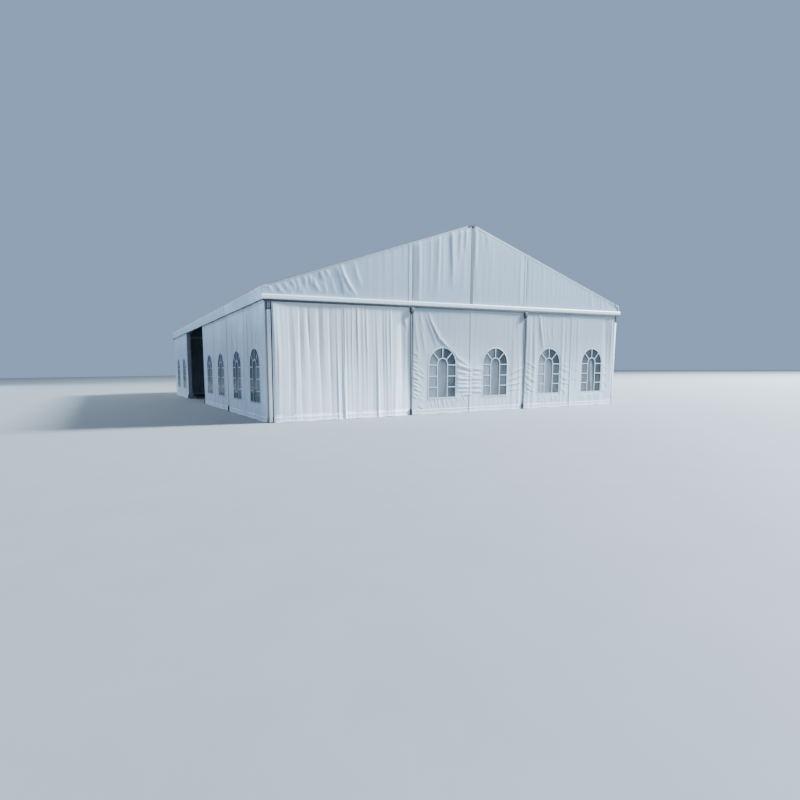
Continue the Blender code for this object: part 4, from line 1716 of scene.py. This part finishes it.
@dataclass
class RoofCover:
    """The cover of one bay: a single cloth from flap to flap over the ridge."""

    number: int
    near: float
    far: float
    pitch: float = 0.10
    sag: float = 0.034

    def _path(self) -> tuple[Array, Array]:
        """Returns the cover's section and the length along it of each point."""
        half = [(FLAP_FACE, FLAP_BOTTOM), *eave_bend(), (0.10, cover_top(0.10)), (0.03, cover_top(0.055))]
        section = np.array([(-x, z) for x, z in half] + [(x, z) for x, z in reversed(half)])
        steps = np.linalg.norm(np.diff(section, axis=0), axis=1)
        return section, np.concatenate([[0.0], np.cumsum(steps)])

    def _hang(self, across: Array, along: Array, up: Array) -> Array:
        """Sags the cloth between its carriers and lets its flaps wave.

        Args:
            across: each point's X on the stretched cover.
            along: its Y.
            up: its height.

        Returns:
            The points, one row each.
        """
        between = (along - self.near) / (self.far - self.near)
        hang = np.sin(np.pi * np.clip(between, 0.0, 1.0)) ** 0.7
        slope = np.abs(across)
        cell = np.abs(np.sin(np.pi * slope / PURLIN_X))
        sag = -self.sag * cell * hang * (slope < FLAP_FACE - 0.05)
        held = np.exp(-np.minimum(between, 1 - between) * 10.0)
        pucker = 0.002 * np.sin(along * 14.0 + across * 2.0) * held
        near_eave = np.exp(-np.abs(slope - 6.9) / 0.5)
        stretch = 0.006 * np.sin(across * 9.0 + 3.0 * np.sin(along * 1.7)) * near_eave * hang
        up = up + (sag + pucker + stretch) * (slope < FLAP_FACE - 0.04)
        flap = slope > FLAP_FACE - 0.03
        low = share(float(roof_top(FLAP_FACE)) - up, 0.36)
        wave = np.sin(along * 3.1 + self.number) + 0.7 * np.sin(along * 7.3)
        flutter = 0.007 * wave * low * hang - 0.004 * low
        dip = 0.010 * np.sin(along * 4.1 + self.number) ** 2 * flap * low * hang
        return np.stack([across + np.sign(across) * flutter * flap, along, up - dip], axis=1)

    def build(self) -> None:
        """Makes the cover."""
        section, travelled = self._path()
        steps = np.unique(np.concatenate([travelled, np.arange(0.0, travelled[-1], self.pitch)]))
        steps = steps[np.concatenate([[True], np.diff(steps) > 0.004])]
        rows = np.linspace(self.near, self.far, round((self.far - self.near) / self.pitch) + 1)
        piece = grid(f"roof_cloth_{self.number}", steps, rows)
        length, along = points_of(piece).T[:2].copy()
        across, up = (np.interp(length, travelled, section[:, axis]) for axis in (0, 1))
        set_points(piece, self._hang(across, along, up))
        set_uv(piece, along, length)
        sew(piece, Finish.ROOF, False, angle=50.0)
        f"rafters_{self.number + 1}"
        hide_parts(f"roof_cover_{self.number}")
        LOG.info("roof_cloth_%d", self.number)


@dataclass
class EaveTabs:
    """The short ends of cloth that close the four eave corners, between cover and gable."""

    near: float = 9.972
    far: float = 10.026
    turned: float = 0.070
    cut: Place = (0.04, 0.08)

    def _tab(self, gable: Facing, side: int) -> None:
        """Makes one tab.

        Args:
            gable: the gable that it closes.
            side: -1 on the tent's left, 1 on its right.
        """
        face, eave = FLAP_FACE, cover_top(FLAP_FACE)
        slope = [(face - 0.180, cover_top(face - 0.180)), *reversed(eave_bend())]
        flap = [(face, (eave + FLAP_BOTTOM) / 2), (face - 0.001, FLAP_BOTTOM + 0.002)]
        section = np.array([*slope, *flap])
        name = f"eave_tab_{gable.value}_{'left' if side < 0 else 'right'}"
        piece = grid(name, np.array([0.0, 0.5, 1.0, 1.4, 2.0]), np.arange(len(section), dtype=float))
        part, row = points_of(piece).T[:2].copy()
        index = np.rint(row).astype(int)
        turns = (0.0, 1.0, 1.4, 2.0)
        along = np.interp(part, turns, (self.near, self.far - 0.004, self.far, self.far))
        inward = np.interp(part, turns, (0.0, 0.0, 0.003, self.turned))
        toward = np.array([face - 0.20, FLAP_BOTTOM + 0.10]) - section
        toward /= np.linalg.norm(toward, axis=1, keepdims=True)
        flat = section[index] + toward[index] * inward[:, None]
        set_points(piece, np.stack([side * flat[:, 0], gable.outward * along, flat[:, 1]], axis=1))
        set_uv(piece, part * self.cut[0], row * self.cut[1])
        sew(piece, Finish.ROOF, gable.outward * side < 0)
        width = self.far - self.near + self.turned

    def build(self) -> None:
        """Makes the four tabs."""
        for gable in (Facing.FRONT, Facing.BACK):
            for side in (-1, 1):
                self._tab(gable, side)
        LOG.info("eave_tabs: 4 pieces")


# Fittings


@dataclass
class Fittings:
    """The small metal parts: rails, seals, clamps, bolts, caps and ground pins; the gable rails' and seals'
    dark finish is partly painted shade.
    """

    rail_back: float = 0.058
    rail_gap: float = 0.0015
    gable_rail: Point = (7.60, 0.086, 0.060)
    eave_rail: Point = (9.98, 0.084, 0.058)
    strip_foot: float = 0.02
    side_strip_head: float = 3.635
    clamp_body: Box = ((-0.078, -0.103, -0.070), (0.078, -0.046, 0.085))
    clamp_web: Box = ((-0.045, -0.108, -0.125), (0.045, -0.046, 0.080))
    clamp_bolts: Place = (0.042, 0.05)
    shoe_plate: Box = ((-0.040, -0.088, 0.004), (0.040, -0.052, 0.21))
    shoe_toe: Box = ((-0.065, -0.125, 0.002), (0.065, -0.045, 0.016))
    bracket_foot: float = BEAM_UNDERSIDE - 0.30
    bracket_face: float = 0.014
    bracket_back: float = 0.001
    verge_out: float = 0.034
    verge_drop: float = 0.020
    cap_half: float = 0.13
    cap_depth: float = 0.24
    lip_drop: float = 0.055
    pin_radius: float = 0.0125
    pin_head: Place = (0.025, 0.016)

    def rails(self) -> None:
        """Makes the curtain rails under the gable beams, whose dark finish is partly painted shade for the
        shadow line under the beam, and the plain ones along the eaves.
        """
        for facing in Facing:
            half, out, height = self.gable_rail if facing.gable else self.eave_rail
            head = (BEAM_UNDERSIDE if facing.gable else EAVE_UNDERSIDE) - self.rail_gap
            low, high = facing.at(-half, self.rail_back, head - height), facing.at(half, out, head)
            rail = block(f"curtain_rail_{facing.value}", low, high, 0.004)
            # The gable rails' dark finish is partly painted shade, standing in for the shadow line under the
            # beam.
            fit(rail, Finish.DARK if facing.gable else Finish.METAL)

    def _bar(self, facing: Facing, across: Place, out: Place, top: float) -> Piece:
        """Makes one bar that stands on a wall.

        Args:
            facing: the wall.
            across: where it starts and ends along the wall.
            out: how far outside the legs its back and its face lie.
            top: the height of its head.

        Returns:
            The bar.
        """
        corners = [facing.at(*place) for place in zip(across, out, (self.strip_foot, top))]
        return block("track", *corners, 0.002)

    def post_strips(self) -> None:
        """Makes the edge tracks down the posts, with a dark seal beside each curtain that is partly painted
        shade for the shadowed gap there.
        """
        tracks, corners, seals = [], [], []
        for gable, wall in ((Facing.FRONT, Facing.LEFT), (Facing.BACK, Facing.RIGHT)):
            head = BEAM_UNDERSIDE - 0.065
            for x in (-UPRIGHT_X, UPRIGHT_X):
                tracks.append(self._bar(gable, (x - 0.012, x + 0.036), (0.010, 0.036), head))
                seals.append(self._bar(gable, (x - 0.047, x + 0.047), (0.001, 0.010), head))
            head = self.bracket_foot
            for turn in (-1, 1):
                corners.append(self._bar(gable, (turn * 7.380, turn * 7.486), (0.008, 0.044), head))
                seals.append(self._bar(gable, (turn * 7.332, turn * 7.492), (0.001, 0.008), head))
            head = self.side_strip_head
            for y in (-BAY, 0.0, BAY):
                tracks.append(self._bar(wall, (y - 0.035, y + 0.035), (0.012, 0.036), head))
                seals.append(self._bar(wall, (y - 0.047, y + 0.047), (0.003, 0.012), head))
        for wall in (Facing.LEFT, Facing.RIGHT):
            for end in (-1, 1):
                span = (end * 9.925, end * 9.991)
                tracks.append(self._bar(wall, span, (0.002, 0.038), BEAM_UNDERSIDE - 0.002))
        fit(join("post_tracks", tracks), Finish.METAL)
        # The corner tracks' pale finish is partly painted light, making up for the shade of their recess.
        fit(join("corner_tracks", corners), Finish.BRIGHT)
        # The seals' dark finish is partly painted shade for the shadowed gaps beside the posts and curtains.
        fit(join("post_seals", seals), Finish.SEAL)

    def clamps(self) -> None:
        """Makes the clamps at the heads of the posts and the brackets at their feet."""
        body = block("clamp", *self.clamp_body, 0.006)
        web = block("web", *self.clamp_web, 0.004)
        aside, over = self.clamp_bolts
        face = self.clamp_body[0][1]
        spots = [(x, face, z) for x in (-aside, aside) for z in (-over, over)]
        clamp = join("clamp", [body, web, *(bolt(spot, -1, 0.016) for spot in spots)])
        plate = block("shoe", *self.shoe_plate, 0.005)
        toe = block("toe", *self.shoe_toe, 0.004)
        shoe = join("shoe", [plate, toe, bolt((0.0, self.shoe_plate[0][1], 0.13), -1, 0.016)])
        heads, feet = [], []
        raised = Matrix.Translation((0.0, 0.0, BEAM_UNDERSIDE - 0.145))
        for facing, turn in zip(Facing, (0.0, 180.0, -90.0, 90.0)):
            spin = Matrix.Rotation(math.radians(turn), 4, "Z")
            for middle in (-UPRIGHT_X, UPRIGHT_X) if facing.gable else (-BAY, 0.0, BAY):
                at = Matrix.Translation(facing.at(middle, 0.0, 0.0))
                if facing.gable:
                    heads.append(copied(clamp, "clamp", at @ raised @ spin))
                feet.append(copied(shoe, "shoe", at @ spin))
        discard(clamp, shoe)
        fit(join("post_clamps", heads), Finish.DARK)
        fit(join("post_shoes", feet), Finish.DARK)

    def corner_brackets(self) -> None:
        """Makes the U-shaped brackets at the heads of the corner legs."""
        parts = []
        foot, face, back = self.bracket_foot, self.bracket_face, self.bracket_back
        for gable in (Facing.FRONT, Facing.BACK):
            for side in (-1, 1):
                for name, start, end, low, high in (
                    ("cheek", 7.470, 7.508, 0.0, 0.295),
                    ("cheek", 7.334, 7.366, 0.0, 0.295),
                    ("tie", 7.360, 7.480, 0.035, 0.062),
                ):
                    one = gable.at(side * start, face, foot + low)
                    parts.append(block(name, one, gable.at(side * end, back, foot + high), 0.003))
                for up in (0.13, 0.22):
                    parts.append(bolt(gable.at(side * 7.42, back, foot + up), gable.outward, 0.017))
        fit(join("corner_brackets", parts), Finish.DARK)

    def _edge_sheet(self, name: str, places: Array, end: int, back: float, drop: float) -> Piece:
        """Makes a thin sheet along the roof's edge.

        Args:
            name: the piece's name.
            places: where along the gable its columns lie.
            end: -1 at the front gable, 1 at the back.
            back: how far it reaches back over the roof, 0 for an upright face.
            drop: how far it hangs down from the roof's edge, 0 for one that lies on top.

        Returns:
            The piece.
        """
        piece = grid(name, places, np.array([0.0, 1.0]))
        across, part = points_of(piece).T[:2].copy()
        top = RIDGE_HEIGHT - SLOPE * np.hypot(across, 0.004) + 0.002
        along = end * (HALF_LENGTH + self.verge_out - part * back)
        set_points(piece, np.stack([across, along, top - part * drop], axis=1))
        if (end > 0) == (back > 0):
            piece.data.flip_normals()
        thicken(piece, 0.004)
        return piece

    def ridge_caps(self) -> None:
        """Makes the caps on the two ends of the ridge and the dark strips down the roof's edges."""
        caps, edges = [], []
        over_ridge = np.linspace(-self.cap_half, self.cap_half, 9)
        for end in (-1, 1):
            caps.append(self._edge_sheet("cap", over_ridge, end, self.cap_depth, 0.0))
            caps.append(self._edge_sheet("lip", over_ridge, end, 0.0, self.lip_drop))
            for side in (-1, 1):
                places = np.sort(side * np.linspace(0.15, 7.44, 25))
                edges.append(self._edge_sheet("edge", places, end, 0.0, self.verge_drop))
        fit(join("ridge_caps", caps), Finish.DARK)
        fit(join("verge_strips", edges), Finish.TRACK)

    def ground_pins(self) -> None:
        """Makes the steel pins that hold the base plates down."""
        shank = cylinder(16, self.pin_radius, 0.09, 0.055)
        settle()
        head = cylinder(16, *self.pin_head, 0.106)
        round_edges(0.004, 2)
        pin = join("pin", [shank, head])
        smooth(pin, 35.0)
        legs = [(side * 7.15, max(-9.88, min(9.88, line))) for side in (-1, 1) for line in FRAME_LINES]
        spots = [(x, y + step) for x, y in legs for step in (-0.08, 0.08)]
        uprights = [(x, end * 9.83) for end in (-1, 1) for x in (-UPRIGHT_X, UPRIGHT_X)]
        spots += [(x + step, y) for x, y in uprights for step in (-0.14, 0.14)]
        pins = [copied(pin, "pin", Matrix.Translation((x, y, 0.0))) for x, y in spots]
        discard(pin)
        fit(join("ground_pins", pins), Finish.ZINC)

    def build(self) -> None:
        """Makes every fitting."""
        sets = (self.rails, self.post_strips, self.clamps)
        for make in (*sets, self.corner_brackets, self.ridge_caps, self.ground_pins):
            make()
            LOG.info("fittings: %s", make.__name__)


# The frame and the studio


@dataclass
class FrameDressing:
    """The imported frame's metal, with its finishes, by the first words of each solid's name."""

    painted: str = "gable_beam"
    bare: tuple[str, ...] = ("leg_", "rafters_", "purlin_", "ridge_", "eave_", "upright_")

    def build(self) -> None:
        """Gives each metal solid its finish."""
        nodes = [node for node in bpy.data.objects if node.type == "MESH" and "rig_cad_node" in node]
        metal = [node for node in nodes if node.name.startswith((self.painted, *self.bare))]
        for node in metal:
            finish = Finish.BEAM if node.name.startswith(self.painted) else Finish.METAL
            dress(node, finish.material)
        LOG.info("frame: %d solids dressed", len(metal))


@dataclass(frozen=True)
class Lamp:
    """A soft square lamp that the camera doesn't see."""

    name: str
    place: Point
    size: float
    power: float
    tint: Colour

    def hang(self, target: Point) -> None:
        """Adds the lamp, turned towards a point."""
        light = bpy.data.lights.new(self.name, "AREA")
        light.shape = "SQUARE"
        light.size = self.size
        light.energy = self.power
        light.color = self.tint
        lamp = bpy.data.objects.new(self.name, light)
        lamp.visible_camera = False
        lamp.location = self.place
        lamp.rotation_euler = (Vector(target) - Vector(self.place)).to_track_quat("-Z", "Y").to_euler()
        bpy.context.scene.collection.objects.link(lamp)


@dataclass
class Studio:
    """A plain pale floor, soft light and the camera."""

    frame_px: float = 800.0
    sensor: float = 36.0
    focal_px: float = 503.35
    centre_px: Place = (330.0, 430.0)
    pitch: float = 0.1221
    yaw: float = 0.4217
    roll: float = -0.0116
    eye: Point = (-11.9835, -24.4697, 1.6087)
    lit_point: Point = (0.0, 0.0, 2.0)
    lamps: tuple[Lamp, ...] = (
        Lamp("key", (78.0, -25.0, 59.0), 18.0, 720000.0, (0.79, 0.925, 1.055)),
        Lamp("side", (-30.0, 44.0, 12.0), 8.0, 6400.0, (0.50, 0.78, 1.14)),
        Lamp("back", (-14.0, 34.0, 26.0), 16.0, 9000.0, (0.85, 0.93, 1.0)),
    )
    floor_colours: tuple[Colour, Colour] = ((0.20, 0.212, 0.217), (0.232, 0.245, 0.246))
    sky: Colour = (0.45, 0.65, 1.0)
    sky_strength: float = 0.62

    def _camera(self) -> None:
        """Places the camera at the photograph's viewing angle."""
        lens = bpy.data.cameras.new("camera")
        lens.sensor_width = self.sensor
        lens.lens = self.sensor * self.focal_px / self.frame_px
        lens.shift_x = (self.frame_px / 2 - self.centre_px[0]) / self.frame_px
        lens.shift_y = (self.centre_px[1] - self.frame_px / 2) / self.frame_px
        lens.clip_end = 400.0
        level = math.cos(self.pitch)
        ahead = Vector((math.sin(self.yaw) * level, math.cos(self.yaw) * level, -math.sin(self.pitch)))
        right = Vector((math.cos(self.yaw), -math.sin(self.yaw), 0.0))
        over = right.cross(ahead)
        side = right * math.cos(self.roll) + over * math.sin(self.roll)
        top = over * math.cos(self.roll) - right * math.sin(self.roll)
        turn = Matrix((side, top, -ahead)).transposed().to_4x4()
        seat = bpy.data.objects.new("camera", lens)
        seat.matrix_world = Matrix.Translation(Vector(self.eye)) @ turn
        bpy.context.scene.collection.objects.link(seat)
        bpy.context.scene.camera = seat

    def _floor(self) -> None:
        """Makes the pale floor."""
        deselect()
        bpy.ops.mesh.primitive_plane_add(size=260.0, location=(0.0, 0.0, -0.002))
        ground = bpy.context.object
        ground.name = "studio_floor"
        settle()
        graph = Graph("studio_floor_finish")
        grain = graph.noise(graph.place(), 1.4, 4.0)
        dress(ground, graph.surface(Base_Color=graph.mix(grain, *self.floor_colours), Roughness=0.85))

    def build(self) -> None:
        """Makes the floor, the lights and the camera."""
        self._floor()
        self._camera()
        for lamp in self.lamps:
            lamp.hang(self.lit_point)
        world = bpy.data.worlds.new("studio_air")
        world.use_nodes = True
        shade = world.node_tree.nodes["Background"]
        shade.inputs["Color"].default_value = (*self.sky, 1.0)
        shade.inputs["Strength"].default_value = self.sky_strength
        bpy.context.scene.world = world


@dataclass
class Walls:
    """Every curtain wall with its windows, around one open bay on the left."""

    open_bay: tuple[Facing, int] = (Facing.LEFT, 3)
    leg_gap: float = 0.012

    def _gables(self, bars: Piece, film: Piece) -> None:
        """Hangs the curtains of both gables, a bay of the front and of the back at a time.

        Args:
            bars: the flat model of a window's border and bars.
            film: the flat model of its film.
        """
        hazed = (Finish.FILM, Finish.FILM)
        front = (
            (plain_bay_folds(), 0.018, 0.050, hazed),
            (middle_bay_folds(), 0.022, 0.012, hazed),
            (last_bay_folds(), 0.026, 0.012, (Finish.MILKY_FILM, Finish.WORN_FILM)),
        )
        end = LEG_INNER + self.leg_gap
        for number, (folds, cell, lean, films) in enumerate(front, 1):
            start = -HALF_SPAN + BAY * (number - 1)
            posts = (
                -end if number == 1 else start + POST_GAP,
                end if number == 3 else start + BAY - POST_GAP,
            )
            plain = number == 1
            windows = () if plain else tuple(start + BAY * place for place in GABLE_PLACES)
            bay = CurtainBay(Facing.FRONT, number, posts, windows, films, folds, cell, lean, not plain)
            bay.build(bars, film)
            CurtainBay(Facing.BACK, number, posts, windows, hazed, zipped=True).build(bars, film)

    def _sides(self, bars: Piece, film: Piece) -> None:
        """Hangs the curtains of both sides.

        Args:
            bars: the flat model of a window's border and bars.
            film: the flat model of its film.
        """
        for facing in (Facing.LEFT, Facing.RIGHT):
            for number in (1, 2, 3, 4):
                if (facing, number) == self.open_bay:
                    continue
                start = -HALF_LENGTH + BAY * (number - 1)
                windows = tuple(start + BAY * place for place in SIDE_PLACES)
                low = start + (CORNER_GAP if number == 1 else POST_GAP)
                high = start + BAY - (CORNER_GAP if number == 4 else POST_GAP)
                films = (Finish.SIDE_FILM, Finish.SIDE_FILM)
                CurtainBay(facing, number, (low, high), windows, films).build(bars, film)

    def build(self) -> None:
        """Hangs the walls, and lets each window's film take the place of its run's."""
        pattern = WindowPattern()
        bars, film = pattern.bars(), pattern.film()
        self._gables(bars, film)
        self._sides(bars, film)
        discard(bars, film)
        for piece in list(bpy.data.objects):
            if piece.name.startswith("window_") and piece.name.endswith(("_a_film", "_b_film")):
                facing, number = piece.name.split("_")[1:3]
                run = ("_4" if number == "4" else "_1") if facing == "left" else ""
                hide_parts(f"window_film_{facing}{run}")


def main() -> None:
    """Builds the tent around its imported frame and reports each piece."""
    logging.basicConfig(level=logging.INFO, format="%(message)s")
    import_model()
    Studio().build()
    FrameDressing().build()
    Walls().build()
    for facing in (Facing.FRONT, Facing.BACK):
        GablePanels(facing).build()
    for number, (start, end) in enumerate(zip(FRAME_LINES, FRAME_LINES[1:]), 1):
        near = -COVER_EDGE if number == 1 else start + TRACK_HALF + 0.001
        far = COVER_EDGE if number == 4 else end - TRACK_HALF - 0.001
        RoofCover(number, near, far).build()
    EaveTabs().build()
    Fittings().build()
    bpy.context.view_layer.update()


if __name__ == "__main__":
    main()
